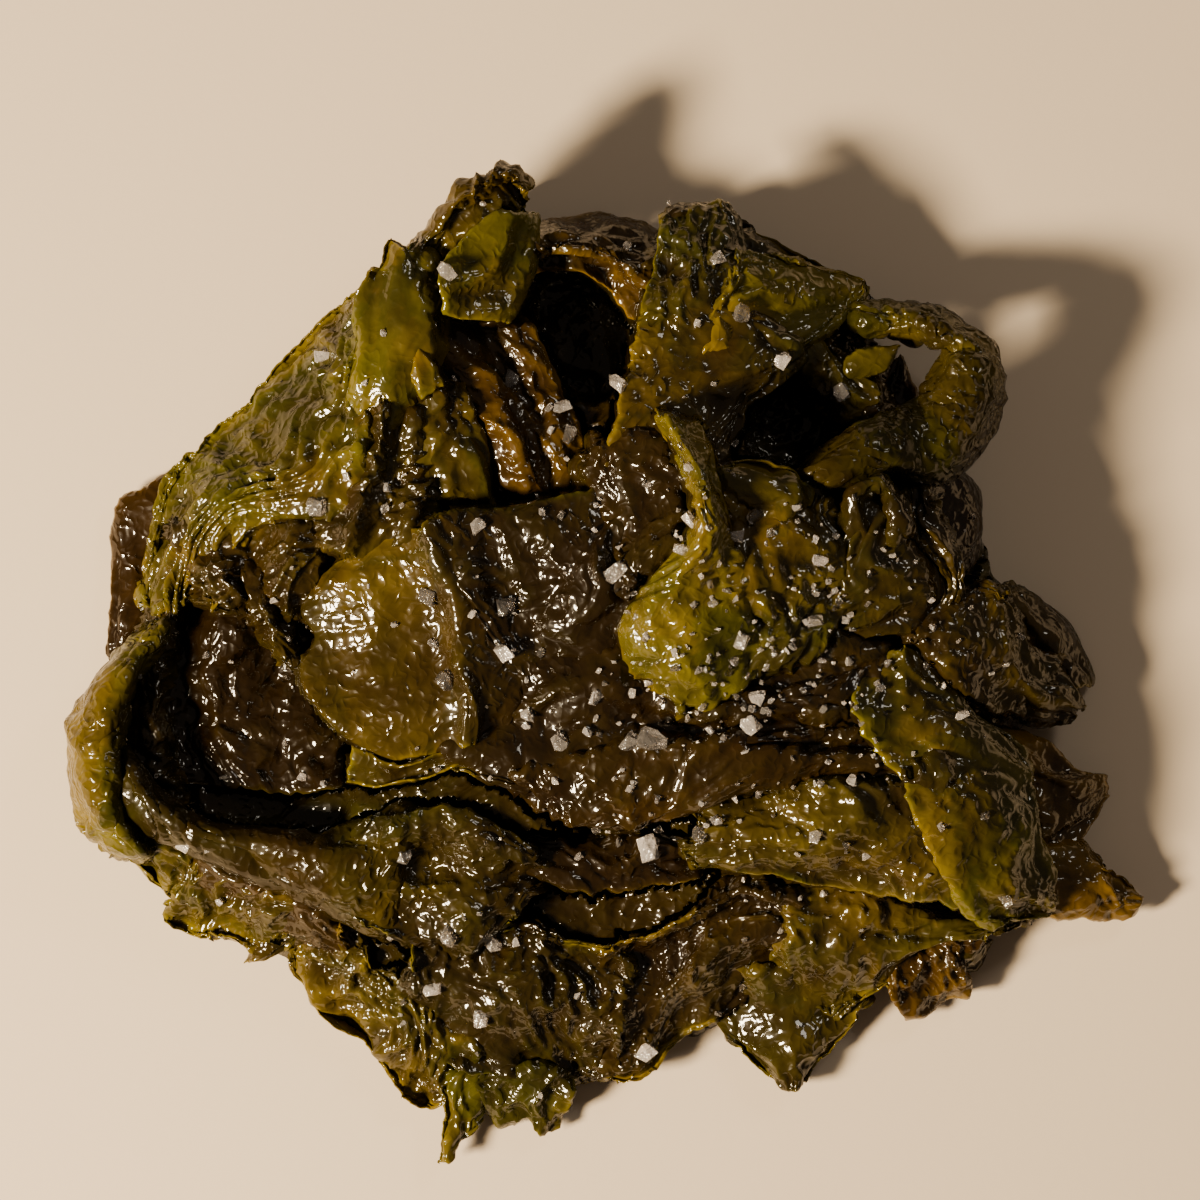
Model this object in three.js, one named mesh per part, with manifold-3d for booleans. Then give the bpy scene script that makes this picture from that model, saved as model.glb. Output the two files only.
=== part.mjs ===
// A heap of seasoned kombu: wide wet sheets of kelp folded over one another, with coarse salt on top.
// Millimetres, +Z up. The origin is on the surface the heap lies on, under the middle of its outline,
// +Y points to the far side of the heap and +X to its right.
//
// Each sheet is a ladder: two long edges, "left" and "right", given at a few places each, with the
// height of every place above the surface, and the shape of its section from one edge to the other.
import * as THREE from "three";
import { mergeVertices } from "three/addons/utils/BufferGeometryUtils.js";
import Module from "manifold-3d";

const wasm = await Module();
wasm.setup();

// ---- driving sizes ----

const SHEET_THICKNESS = 3; // wet kombu with the small folds lying flat on it
const CELL = 17; // length of a face of a sheet, about the size of its smallest fold kept here
const SWELL_LENGTHS = [29, 21]; // the two wave trains that make a sheet uneven
const SWELL_SHARES = [0.6, 0.4];

// How far the packed sheets below reach from the origin, every 30 degrees from +X towards +Y.
const CORE_REACH = [90, 86, 97, 94, 94, 95, 104, 98, 88, 84, 82, 92];
const CORE_RINGS = 10;
const CORE_SECTORS = 40;
const CORE_SETBACK = 5; // how far free edges reach out over the packed sheets
const CORE_PROBES = 8;
const CORE_STEP = 9; // a drop to a neighbouring sheet that counts as a free edge
const HOLLOW_FLOOR = 9; // height of the packed sheets where a hollow looks down on them
const FLOOR_SQUARENESS = 4; // higher is steeper at the side

const SALT_SINK = 0.3; // share of a crystal's size that lies below the sheet it rests on
const SALT_SEED = 11;

const FLOOR_SIZE = 400;
const FLOOR_DEPTH = 40;

// ---- sections of a sheet: place from the left edge (0) to the right edge (1), and rise in mm ----

const crown = (rise) => [[0, 0], [0.5, rise], [1, 0]];

// Both edges roll under, so that the sheet reads as a fat fold.
const roll = (rise, tuck) => [
  [0.22, -tuck],
  [0, -tuck * 0.4],
  [0.25, rise * 0.9],
  [0.75, rise * 0.9],
  [1, -tuck * 0.4],
  [0.78, -tuck],
];

// The right edge is a fold that turns under.
const foldB = (rise, tuck) => [[0, 0], [0.55, rise], [0.92, 0], [1, -tuck * 0.5], [0.75, -tuck]];

// The left edge curls up into a lip.
const curlA = (rise, lip) => [[0, lip], [0.12, 0], [0.5, rise], [1, 0]];

// ---- the sheets, from the bottom of the heap to its top ----

const SHEETS = [
  // fringe, low
  {
    name: "left_corner",
    left: [[-88, 50, 9], [-100, 42, 5], [-109, 36, 4], [-109.5, 18, 4], [-110.8, 4.4, 4]],
    right: [[-82, 42, 11], [-92, 34, 10], [-98, 26, 9], [-101, 14, 9], [-105, 5, 7]],
    across: crown(1.5),
    swell: 1.0,
  },
  {
    name: "back_arch",
    left: [[-18, 97, 5], [-10, 100.5, 4], [0, 100.5, 4], [8, 98, 4], [14, 95, 5]],
    right: [[-18, 90, 26], [-9, 92, 27], [0, 90, 26], [5, 86.5, 25], [11, 82, 24]],
    across: [[0, 0], [0.3, 7], [0.7, 5], [1, 0], [1.15, -9], [1.7, -23]],
    swell: 0.8,
  },
  {
    name: "back_fringe",
    left: [[24, 97, 8], [33, 96, 6], [42, 91, 6], [52, 86.5, 5], [58, 84, 5]],
    right: [[24, 86, 18], [33, 85, 17], [41, 82, 16], [49, 78, 14], [54, 75, 12]],
    across: crown(2),
    swell: 1.5,
  },
  {
    name: "right_back",
    left: [[76, 46, 8], [82.6, 40, 6], [83.5, 32, 5], [81.5, 24, 6], [78, 17, 8]],
    right: [[64, 44, 22], [66, 38, 22], [67, 30, 22], [68, 22, 22], [68, 14, 22]],
    across: crown(3),
    swell: 1.2,
  },
  {
    name: "right_tip_leaf",
    left: [
      [88, -12, 10], [97, -15, 10], [103, -21, 8], [110.5, -23, 6], [112, -28, 5], [109, -33, 6],
      [103, -39.5, 8],
    ],
    right: [
      [82, -16, 18], [86, -21, 18], [89, -25, 17], [91, -29, 16], [92, -33, 16], [93, -37, 15],
      [94, -42, 14],
    ],
    across: crown(1.5),
    swell: 1.2,
  },
  {
    name: "right_tip",
    left: [[92, -38, 17], [102, -40.5, 13], [110, -43, 9], [115.5, -47, 7], [118, -51, 5]],
    right: [[94, -56, 13], [102, -57, 9], [108, -58, 6], [113, -56.5, 5], [117, -53, 4]],
    across: crown(3),
    swell: 1.2,
  },
  {
    name: "right_arch",
    left: [[80, 17, 19], [86, 18.7, 15], [92, 17, 12], [99, 12, 9], [104, 3, 7], [107, -6, 5]],
    right: [[80, 10, 22], [86, 11, 20], [90, 9, 18], [93, 4, 16], [96, -1, 14], [99, -6, 12]],
    across: [[0, -6], [0.0, 0], [0.4, 2], [1, -3]],
    swell: 1.0,
  },
  {
    name: "low_right_ruffle",
    left: [[64, -69, 5], [65.5, -79, 4], [74, -75, 4], [80, -70.5, 5], [81.5, -65, 6], [88.5, -56.5, 8]],
    right: [[58, -60, 14], [63, -63, 13], [69, -63, 12], [74, -61, 13], [76, -58, 13], [79, -54, 14]],
    across: crown(2),
    swell: 2.0,
  },
  {
    name: "low_right_leaf",
    left: [[25, -64, 14], [25.5, -73, 8], [29, -83, 5], [36, -90, 4], [40, -93, 4]],
    right: [[54, -66, 12], [57, -74, 8], [51, -82, 6], [45.5, -87, 5], [43, -92.5, 4]],
    across: crown(3),
    swell: 1.8,
  },
  {
    name: "left_fringe",
    left: [
      [-109, -38, 10], [-101, -45, 6], [-95, -50, 5], [-97, -55.5, 4], [-90, -59, 4], [-83, -59.5, 5],
      [-76, -61, 7], [-69, -58, 9],
    ],
    right: [
      [-104, -30, 20], [-96, -34, 18], [-89, -38, 17], [-87, -42, 17], [-82, -45, 18], [-77, -47, 19],
      [-72, -49, 20], [-64, -50, 20],
    ],
    across: crown(2),
    swell: 2.0,
  },
  {
    name: "left_fringe_tip",
    left: [[-78, -55, 9], [-80, -61, 6], [-80.5, -66, 4]],
    right: [[-66, -54, 14], [-69, -59, 9], [-75, -64, 5]],
    across: crown(1),
    swell: 1.0,
  },
  {
    name: "low_left_amber",
    left: [
      [-67, -57, 10], [-69, -66, 5], [-63.5, -75, 4], [-54, -81, 4], [-50, -86, 4], [-45.5, -93, 4],
      [-40, -97, 5], [-33, -94, 7],
    ],
    right: [
      [-58, -54, 17], [-55, -60, 16], [-51, -65, 16], [-46, -69, 16], [-41, -72, 15], [-37, -76, 14],
      [-32, -79, 13], [-27, -81, 13],
    ],
    across: crown(1.5),
    swell: 1.8,
  },
  {
    name: "tip_long",
    left: [[-36, -88, 8], [-35.5, -95, 7], [-36.5, -102, 6], [-37.8, -109, 5]],
    right: [[-27, -86, 9], [-29, -95, 7], [-29.3, -101, 6], [-32.5, -108, 4]],
    across: crown(2),
    swell: 1.0,
  },
  {
    name: "tip_wide",
    left: [[-30, -98, 5], [-24, -101.5, 4], [-17.5, -102, 4], [-14, -104, 4], [-8, -99.5, 4]],
    right: [[-30, -87, 11], [-22, -87, 11], [-15, -87, 11], [-10, -88, 10], [-5, -91, 8]],
    across: crown(1.5),
    swell: 1.5,
  },
  // middle
  {
    name: "low_right_body",
    left: [[40, -48, 24], [52, -49, 24], [64, -52, 22], [76, -55, 18], [90, -55, 13]],
    right: [[38, -70, 10], [48, -75, 8], [57, -72, 9], [66, -65, 11], [80, -60, 11]],
    across: crown(4),
    swell: 2.0,
  },
  {
    name: "bottom_right",
    left: [[0, -60, 20], [10, -58, 22], [21, -52, 24], [31, -48, 25], [42, -50, 24]],
    right: [[0, -91, 6], [9, -90, 6], [17, -81, 7], [27, -75, 9], [40, -68, 11]],
    across: [[0, 0], [0.2, -3], [0.45, 3], [0.7, 1], [1, 0]],
    swell: 2.0,
  },
  {
    name: "bottom_left",
    left: [[-44, -56, 22], [-30, -57, 22], [-14, -58, 21], [4, -60, 20]],
    right: [[-40, -83, 10], [-26, -90, 7], [-10, -93, 6], [3, -92, 6]],
    across: [[0, 0], [0.25, 2], [0.5, 4], [0.8, 1], [1, 0]],
    swell: 2.2,
  },
  {
    name: "hollow_left",
    left: [[-102, 8, 13], [-103, -4, 12], [-103, -16, 11], [-98, -26, 13]],
    right: [[-62, 12, 18], [-62, 0, 15], [-60, -14, 15], [-56, -30, 20]],
    across: [[0, 0], [0.25, -3], [0.45, 1], [0.7, -2], [1, 0]],
    swell: 2.2,
  },
  {
    name: "hollow_ruffle",
    left: [[-84, 20, 20], [-80, 14, 21], [-76, 8, 20], [-72, 3, 18]],
    right: [[-70, 22, 22], [-68, 15, 23], [-67, 8, 22], [-66, 2, 20]],
    across: [[0, -8], [0.1, 0], [0.4, 3], [0.8, 0], [1, -9]],
    swell: 2.0,
  },
  {
    name: "low_strip",
    left: [[-24, -36, 24], [-8, -38, 24], [6, -38, 24], [21, -38, 25]],
    right: [[-20, -47, 22], [-6, -49.5, 25], [6, -49.5, 25], [20, -47, 24]],
    across: crown(1),
    swell: 1.0,
  },
  {
    name: "inner_back_a",
    left: [[-38, 76, 27], [-36, 66, 29], [-30, 58, 29], [-26, 50, 29], [-22, 41, 29]],
    right: [[-14, 74, 20], [-9.5, 64, 21], [-6, 55, 22], [-3.5, 47, 24], [-3, 40, 25]],
    across: [[0, 0], [0.35, 2.5], [0.5, -1.5], [0.75, 1], [1, 0.5]],
    swell: 1.5,
  },
  {
    name: "inner_back_b",
    left: [[-44, 62, 32], [-44, 54, 32], [-42, 46, 31], [-41, 38, 30]],
    right: [[-31, 60, 32], [-29, 55, 32], [-26, 48, 31], [-25, 39, 29]],
    across: foldB(2, 5),
    swell: 1.2,
  },
  {
    name: "lens_leaf_a",
    left: [[51, 62, 22], [56, 61.5, 23], [62, 65, 23], [64.5, 70.5, 22]],
    right: [[50, 66, 22], [54, 69.5, 23], [59, 70.5, 23], [64, 71, 22]],
    across: crown(1.5),
    swell: 0.6,
  },
  {
    name: "lens_leaf_b",
    left: [[40, 65, 22], [45, 59, 22], [51, 55, 22], [60, 54.5, 22]],
    right: [[41, 68, 23], [46, 72, 23], [51, 67, 22], [60, 62, 20]],
    across: [[0, -9], [0, -1], [0.3, 1.5], [0.7, 1.5], [1, 0]],
    swell: 1.0,
  },
  {
    name: "thin_brown_leaf",
    left: [[56, 46, 12], [59, 54, 15], [60, 62, 14], [63, 69, 13]],
    right: [[66, 50, 12], [69, 58, 14], [68, 63, 13], [65, 69, 12]],
    across: crown(1),
    swell: 0.8,
  },
  {
    name: "loop_rope",
    left: [
      [58, 80, 18], [66, 79, 20], [75, 75.5, 22], [82.5, 70.5, 24], [85.5, 61.5, 25], [81.5, 50, 26],
      [71, 40.5, 30], [60, 42, 34], [48, 39, 37],
    ],
    right: [
      [59, 73, 18], [66, 72.5, 20], [71, 72, 23], [73.5, 69.5, 25], [71, 63, 28], [69, 59, 30],
      [62, 55, 33], [54, 52, 36], [41, 42, 38],
    ],
    across: roll(5, 8),
    swell: 1.5,
  },
  {
    name: "lower_right_wide",
    left: [[20.5, -34, 33], [35, -29, 34], [50, -26, 36], [63, -24, 38], [72, -20, 38]],
    right: [[20.6, -44, 27], [35, -45.6, 28], [50, -48, 28], [65, -52, 26], [78, -56, 23]],
    across: crown(3),
    swell: 1.8,
  },
  {
    name: "lower_right_lobe",
    left: [
      [61, 6, 33], [53.5, -2, 37], [53, -12, 38], [60, -22, 38], [67, -34, 36], [71, -45, 32],
      [76, -56, 23],
    ],
    right: [
      [67, 5.5, 31], [79, -7.5, 29], [89, -15.5, 26], [92.5, -26, 26], [94.5, -38, 24], [98, -48, 20],
      [98, -54, 14],
    ],
    across: foldB(3, 8),
    swell: 1.5,
  },
  {
    name: "right_cluster",
    left: [
      [69, 12, 31], [78, 17, 30], [86, 16, 26], [91, 8.5, 22], [96, 0, 18], [101, -3, 13],
      [106, -8, 8],
    ],
    right: [
      [69, 2, 31], [75, -3.5, 30], [81, -7, 26], [86, -8.5, 21], [92, -9.5, 17], [99, -10, 12],
      [105, -10, 8],
    ],
    across: crown(4),
    swell: 1.5,
  },
  // upper
  {
    name: "left_ribbed",
    left: [[-51, 84, 20], [-61, 77, 15], [-74, 64.5, 12], [-86, 53, 11], [-96, 38, 11], [-101.5, 13, 10]],
    right: [[-47.5, 81, 31], [-51, 66, 35], [-52, 52, 36], [-60, 34, 33], [-80, 33, 25], [-90, 14, 15]],
    across: crown(5),
    swell: 1.2,
  },
  {
    name: "left_roll",
    left: [
      [-103, 6, 14], [-111, -3, 18], [-117, -13, 19], [-116.8, -24, 18], [-115, -34, 15],
      [-110, -38.5, 12],
    ],
    right: [
      [-98, 5, 17], [-103, -3, 22], [-105.5, -14, 24], [-106, -24, 25], [-105, -32, 23],
      [-101, -38, 19],
    ],
    across: roll(5, 9),
    swell: 1.5,
  },
  {
    name: "long_fold",
    left: [
      [-104.5, -19, 22], [-97, -28.5, 25], [-85, -34.5, 26], [-71, -36.5, 27], [-57, -35, 28],
      [-44, -31, 29],
    ],
    right: [
      [-104, -34, 18], [-97, -37, 19], [-86, -41, 21], [-74, -47, 22], [-61, -51.5, 23],
      [-50, -57.5, 24],
    ],
    across: roll(4, 8),
    swell: 1.2,
  },
  {
    name: "mid_left_lumps",
    left: [[-52, -31, 29], [-40, -29, 31], [-28, -30, 31], [-16, -37, 29]],
    right: [[-56, -55, 24], [-44, -59, 25], [-32, -60, 26], [-19, -54, 26]],
    across: [[0, 0], [0.2, 2.5], [0.45, -1], [0.7, 2.5], [1, 0]],
    swell: 2.0,
  },
  {
    name: "centre_low",
    left: [[-28, 4, 33], [-10, 6, 35], [8, 3, 36], [26, -5, 37], [44, -4, 37], [58, 1, 34]],
    right: [[-34, -22, 30], [-14, -26, 32], [4, -25, 34], [22, -20, 35], [42, -17, 35], [56, -18, 33]],
    across: [[0, 0], [0.3, 2], [0.55, -1], [0.8, 1.5], [1, 0]],
    swell: 1.5,
  },
  {
    name: "lens_long",
    left: [
      [-22, -21, 34], [-8, -20, 36], [8, -18, 38], [25, -16, 39], [42, -16, 38], [56, -18, 36],
      [68, -23, 33],
    ],
    right: [
      [-20, -26, 33], [-9, -33, 34], [4, -34, 35], [20, -30, 36], [36, -25, 36], [52, -23, 35],
      [68, -25, 32],
    ],
    across: foldB(1, 4),
    swell: 0.8,
  },
  {
    name: "centre_dark",
    left: [[-43, 33, 33], [-39, 22, 34], [-35, 12, 33], [-29, 3, 32]],
    right: [[2, 42, 38], [4, 28, 40], [5, 14, 40], [7, 2, 38]],
    across: [[0, 0], [0.18, 3], [0.4, -1], [0.75, 2], [1, 0]],
    swell: 1.5,
  },
  {
    name: "left_smooth",
    left: [[-61, 23, 28], [-66, 13, 27], [-63, 7, 28], [-65.5, -2, 28], [-57, -13, 30], [-42, -21, 30]],
    right: [[-30, 37, 37], [-21, 28, 36], [-17, 17, 36], [-15, 6, 35], [-16, -5, 34], [-24, -17, 32]],
    across: [[0, -5], [0.0, 0], [0.3, 1], [0.55, 3], [0.66, 6.5], [0.76, 2], [0.9, -1], [1, -2]],
    swell: 1.6,
  },
  {
    name: "left_curled_leaf",
    left: [[-57, -24, 26], [-50, -25.5, 27], [-43, -23.5, 28], [-36, -22, 29], [-28, -19, 29]],
    right: [[-56, -14, 30], [-48, -18, 31], [-41, -19, 31], [-35, -17, 31], [-30, -16, 31]],
    across: curlA(1, 3),
    swell: 0.6,
  },
  {
    name: "upper_small",
    left: [[-47, 95, 30], [-51, 82, 34], [-52.5, 66, 36], [-51, 53, 33], [-50, 46, 28]],
    right: [[-40, 88, 33], [-39, 80, 36], [-39, 70, 37], [-42, 57, 35], [-44, 48, 28]],
    across: crown(2.5),
    swell: 1.0,
  },
  {
    name: "upper_flap",
    left: [[-41, 72, 37], [-36, 67, 38.5], [-33.5, 61, 38]],
    right: [[-43, 64, 36], [-42, 60, 36], [-41, 57, 36]],
    across: crown(1),
    swell: 0.4,
  },
  {
    name: "crest_ruffle",
    left: [
      [-45, 85, 24], [-42, 92.5, 27], [-36, 101, 30], [-30, 106, 31], [-23, 109.5, 31],
      [-16.5, 103, 27],
    ],
    right: [[-38, 84, 30], [-37, 89, 33], [-32, 95, 35], [-26, 100, 35], [-20, 103, 33], [-16, 100, 29]],
    across: [[0, -4], [0, 1], [0.35, 3.5], [0.7, -1.5], [1.4, -6]],
    swell: 1.5,
  },
  {
    name: "crest_body",
    left: [[-38, 76, 38], [-37.5, 83, 40], [-32.5, 91.5, 41], [-24, 100.5, 37]],
    right: [[-21.5, 74, 33], [-17.5, 82, 31], [-15.5, 91, 30], [-15, 100, 28]],
    across: foldB(1.5, 10),
    swell: 1.2,
  },
  {
    name: "centre_back",
    left: [[10.5, 100, 26], [9.5, 88, 30], [7, 79, 33], [4, 69, 36], [1, 59, 38], [-1.5, 43, 39]],
    right: [[25, 104, 22], [27, 92, 30], [28, 80, 33], [41, 68, 31], [30, 58, 34], [25, 44, 40]],
    across: crown(2),
    swell: 1.2,
  },
  {
    name: "back_lobe",
    left: [[27, 93, 29], [26, 86, 32], [23, 78, 34], [20, 70, 34]],
    right: [[33, 90.5, 25], [45, 88, 21], [57, 83, 18], [41, 66, 31]],
    across: [[0, 0], [0.15, 2.5], [0.5, 1.5], [1, 0]],
    swell: 1.8,
  },
  {
    name: "dark_tip",
    left: [[10.5, 98, 24], [14, 102, 22], [25, 105, 16]],
    right: [[13, 94, 27], [20, 98, 27], [27, 91, 26]],
    across: crown(2),
    swell: 1.0,
  },
  {
    name: "right_lumps",
    left: [[25, 46, 42], [25, 36, 45], [27, 24, 46], [28, 13, 44], [27, 2, 42]],
    right: [[46, 41, 38], [47, 33, 41], [51, 22, 42], [50, 11, 40], [47, 2, 37]],
    across: crown(2),
    swell: 2.0,
  },
  {
    name: "right_strip",
    left: [[25, 45.5, 45], [35, 44, 44], [41, 42, 42], [46, 37, 40]],
    right: [[26, 36, 46], [33, 35.5, 45], [39, 34.5, 44], [43, 33.5, 42]],
    across: crown(1.5),
    swell: 0.8,
  },
  {
    name: "right_curl_body",
    left: [[52.5, 31, 40], [51.5, 20, 41], [49.5, 14, 39], [46, 8, 36]],
    right: [[68.5, 40, 34], [70, 30, 33], [76.5, 19, 30], [73, 8, 29]],
    across: [[0, -4], [0, 0], [0.3, 3], [0.7, 2], [0.85, -2], [1, 1]],
    swell: 1.0,
  },
  {
    name: "right_curl_top",
    left: [[51, 33, 39], [53, 39, 41], [59, 42.5, 42], [63, 38, 40], [66, 30, 38]],
    right: [[58, 29, 38], [57, 35, 36], [59, 38, 37], [60, 36, 37], [60, 28, 38]],
    across: roll(3, 5),
    swell: 0.6,
  },
  {
    name: "centre_ridge",
    left: [
      [11, 53, 43], [15.5, 46, 48], [18, 37, 51], [17, 28, 51], [9, 20, 47], [3, 11, 44], [5, 0, 41],
      [10, -5, 38],
    ],
    right: [
      [20, 52.5, 44], [23, 43, 48], [25.5, 34, 50], [27.5, 26, 49], [31, 18, 46], [32, 8, 44],
      [30, -2, 41], [24, -9, 38],
    ],
    across: [[0.22, -7], [0, -3], [0.25, 4.5], [0.62, 4.5], [1, 0.5], [1.05, -4]],
    swell: 1.0,
  },
  // folds between them
  {
    name: "fold_left_under",
    left: [[-93, 31, 19], [-90, 22, 19], [-86, 14, 20]],
    right: [[-60, 31, 28], [-63, 23, 27], [-66, 14, 25]],
    across: [[0, 0], [0.25, 3], [0.5, -2], [0.75, 3], [1, 0]],
    swell: 2.0,
  },
  {
    name: "fold_left_upper",
    left: [[-51, 58, 32], [-54, 47, 31], [-58, 37, 30], [-62, 28, 30]],
    right: [[-40, 56, 34], [-40, 46, 34], [-41, 37, 35], [-43, 28, 35]],
    across: [[0, 0], [0.3, 4], [0.6, -1], [1, 1]],
    swell: 2.0,
  },
  // hanging down the sides
  {
    name: "side_left_back",
    left: [[-97, 38, 2], [-88, 47, 2], [-79, 56, 2], [-69, 65, 2]],
    right: [[-86, 32, 21], [-79, 40, 22], [-70, 48, 24], [-61, 56, 25]],
    across: [[0, 0], [0.4, 3], [1, 0]],
    swell: 2.4,
  },
  {
    name: "side_back_left",
    left: [[-73, 61, 2], [-62, 71, 2], [-52, 79, 3], [-43, 86, 3]],
    right: [[-62, 50, 26], [-54, 60, 27], [-46, 69, 28], [-39, 77, 29]],
    across: [[0, 0], [0.4, 4], [1, 0]],
    swell: 2.6,
  },
  {
    name: "side_under_crest",
    left: [[-46, 85, 3], [-38, 94, 2], [-29, 101, 2], [-20, 101, 3], [-14, 96, 4]],
    right: [[-40, 80, 30], [-34, 87, 32], [-27, 93, 33], [-21, 95, 31], [-15, 92, 28]],
    across: [[0, 0], [0.4, 3], [1, 0]],
    swell: 2.2,
  },
  {
    name: "side_back",
    left: [[6, 95, 2], [13, 98, 2], [21, 99, 2], [29, 93, 2], [37, 90, 2]],
    right: [[8, 88, 27], [14, 91, 26], [21, 92, 26], [28, 86, 26], [35, 82, 25]],
    across: [[0, 0], [0.4, 2.5], [1, 0]],
    swell: 2.0,
  },
  {
    name: "side_back_right",
    left: [[48, 82, 2], [56, 76, 2], [61, 69, 2], [65, 61, 2], [71, 54, 2], [77, 47, 3]],
    right: [[44, 74, 19], [50, 68, 20], [55, 62, 21], [59, 56, 23], [63, 50, 25], [67, 44, 26]],
    across: [[0, 0], [0.4, 3], [1, 0]],
    swell: 2.4,
  },
];

// ---- the largest salt crystals: place and size ----

const SALT = [
  [-39, 15, 5], [-22, 13.5, 4.5], [-22, 4, 4.5], [-35, -3, 5], [5, -16, 4.5], [10, -16, 7],
  [-10, -16, 4.5], [9, -39, 5.5], [2, 21, 5], [31, -12, 4.5], [-63, 35, 4.5], [-44, -40.5, 5],
  [-34, -58, 4.5], [-25, -60, 4.5], [8, -84, 5.5], [-34.5, 86, 4.5], [-10, 57, 4.5], [-8, 51, 4.5],
  [2, 62, 5], [29, 77, 4.5],
];

// ---- helpers ----

// A smooth value through the rows of a list: row i at t = i, with straight run-outs at both ends.
function through(rows, t) {
  const last = rows.length - 1;
  const i = Math.min(Math.max(Math.floor(t), 0), last - 1);
  const f = t - i;
  const before = i > 0 ? rows[i - 1] : rows[0].map((v, k) => 2 * v - rows[1][k]);
  const after = i + 2 <= last ? rows[i + 2] : rows[last].map((v, k) => 2 * v - rows[last - 1][k]);
  return rows[i].map((p1, k) => {
    const p0 = before[k];
    const p2 = rows[i + 1][k];
    const p3 = after[k];
    const linear = (p2 - p0) * f;
    const square = (2 * p0 - 5 * p1 + 4 * p2 - p3) * f * f;
    const cube = (3 * p1 - p0 - 3 * p2 + p3) * f * f * f;
    return 0.5 * (2 * p1 + linear + square + cube);
  });
}

// Unevenness between -1 and 1 at a place: two crossing wave trains, turned by the sheet's number.
function swellAt(x, y, number) {
  const turn = 0.9 * number;
  const along = x * Math.cos(turn) + y * Math.sin(turn);
  const across = y * Math.cos(turn) - x * Math.sin(turn);
  const [longer, shorter] = SWELL_LENGTHS.map((length) => (2 * Math.PI) / length);
  return (
    SWELL_SHARES[0] * Math.sin(along * longer + 1.7 * number) +
    SWELL_SHARES[1] * Math.sin(across * shorter + 2.9 * number)
  );
}

// A point of a sheet's upper face: t runs along its edges and s through its section.
function sheetPoint(sheet, number, t, s) {
  const left = through(sheet.left, t);
  const right = through(sheet.right, t);
  const [place, rise] = through(sheet.across, s);
  const point = new THREE.Vector3(...left).lerp(new THREE.Vector3(...right), place);
  point.z += rise + sheet.swell * swellAt(point.x, point.y, number);
  return point;
}

function pathLength(points) {
  return points.slice(1).reduce((sum, p, i) => sum + Math.hypot(...p.map((v, k) => v - points[i][k])), 0);
}

// Rows of points of the upper face, about CELL apart.
function sheetGrid(sheet, number) {
  const long = (pathLength(sheet.left) + pathLength(sheet.right)) / 2;
  const wide = Math.max(
    ...sheet.left.map(([x, y], i) => Math.hypot(x - sheet.right[i][0], y - sheet.right[i][1])),
  );
  const rows = Math.max(sheet.left.length, Math.ceil(long / CELL) + 1);
  const columns = Math.max(sheet.across.length, Math.ceil(wide / CELL) + 1);
  return Array.from({ length: rows }, (_, i) =>
    Array.from({ length: columns }, (_, j) => {
      const t = (i / (rows - 1)) * (sheet.left.length - 1);
      const s = (j / (columns - 1)) * (sheet.across.length - 1);
      return sheetPoint(sheet, number, t, s);
    }),
  );
}

// The outward direction at each point of a grid, from its neighbours.
function gridNormals(grid) {
  const clamp = (v, top) => Math.min(Math.max(v, 0), top);
  const lastRow = grid.length - 1;
  const lastColumn = grid[0].length - 1;
  return grid.map((row, i) =>
    row.map((_, j) => {
      const down = grid[clamp(i + 1, lastRow)][j].clone().sub(grid[clamp(i - 1, lastRow)][j]);
      const side = row[clamp(j + 1, lastColumn)].clone().sub(row[clamp(j - 1, lastColumn)]);
      return side.cross(down).normalize();
    }),
  );
}

// A closed indexed solid from flat lists of corners and faces, turned the right way out.
function solidFrom(corners, faces) {
  const geometry = new THREE.BufferGeometry();
  const numbers = corners.flatMap((p) => [p.x, p.y, p.z]);
  geometry.setAttribute("position", new THREE.Float32BufferAttribute(numbers, 3));
  geometry.setIndex(faces);
  const merged = mergeVertices(geometry, 1e-4);
  const vertProperties = merged.attributes.position.array;
  const triVerts = Uint32Array.from(merged.index.array);
  let solid = new wasm.Manifold(new wasm.Mesh({ numProp: 3, vertProperties, triVerts }));
  if (solid.volume() < 0) {
    for (let f = 0; f < triVerts.length; f += 3) {
      [triVerts[f + 1], triVerts[f + 2]] = [triVerts[f + 2], triVerts[f + 1]];
    }
    solid = new wasm.Manifold(new wasm.Mesh({ numProp: 3, vertProperties, triVerts }));
  }
  return solid;
}

// Height of a solid's topmost face over a place, or null beside it.
function topOver(solidMesh, x, y) {
  const { vertProperties: v, triVerts, numProp } = solidMesh;
  let top = null;
  for (let f = 0; f < triVerts.length; f += 3) {
    const [a, b, c] = [0, 1, 2].map((k) => triVerts[f + k] * numProp);
    const area = (v[b] - v[a]) * (v[c + 1] - v[a + 1]) - (v[c] - v[a]) * (v[b + 1] - v[a + 1]);
    if (area <= 0) continue;
    const wb = ((x - v[a]) * (v[c + 1] - v[a + 1]) - (v[c] - v[a]) * (y - v[a + 1])) / area;
    const wc = ((v[b] - v[a]) * (y - v[a + 1]) - (x - v[a]) * (v[b + 1] - v[a + 1])) / area;
    if (wb < 0 || wc < 0 || wb + wc > 1) continue;
    const z = v[a + 2] + wb * (v[b + 2] - v[a + 2]) + wc * (v[c + 2] - v[a + 2]);
    if (top === null || z > top) top = z;
  }
  return top;
}

// ---- the pieces ----

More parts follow.
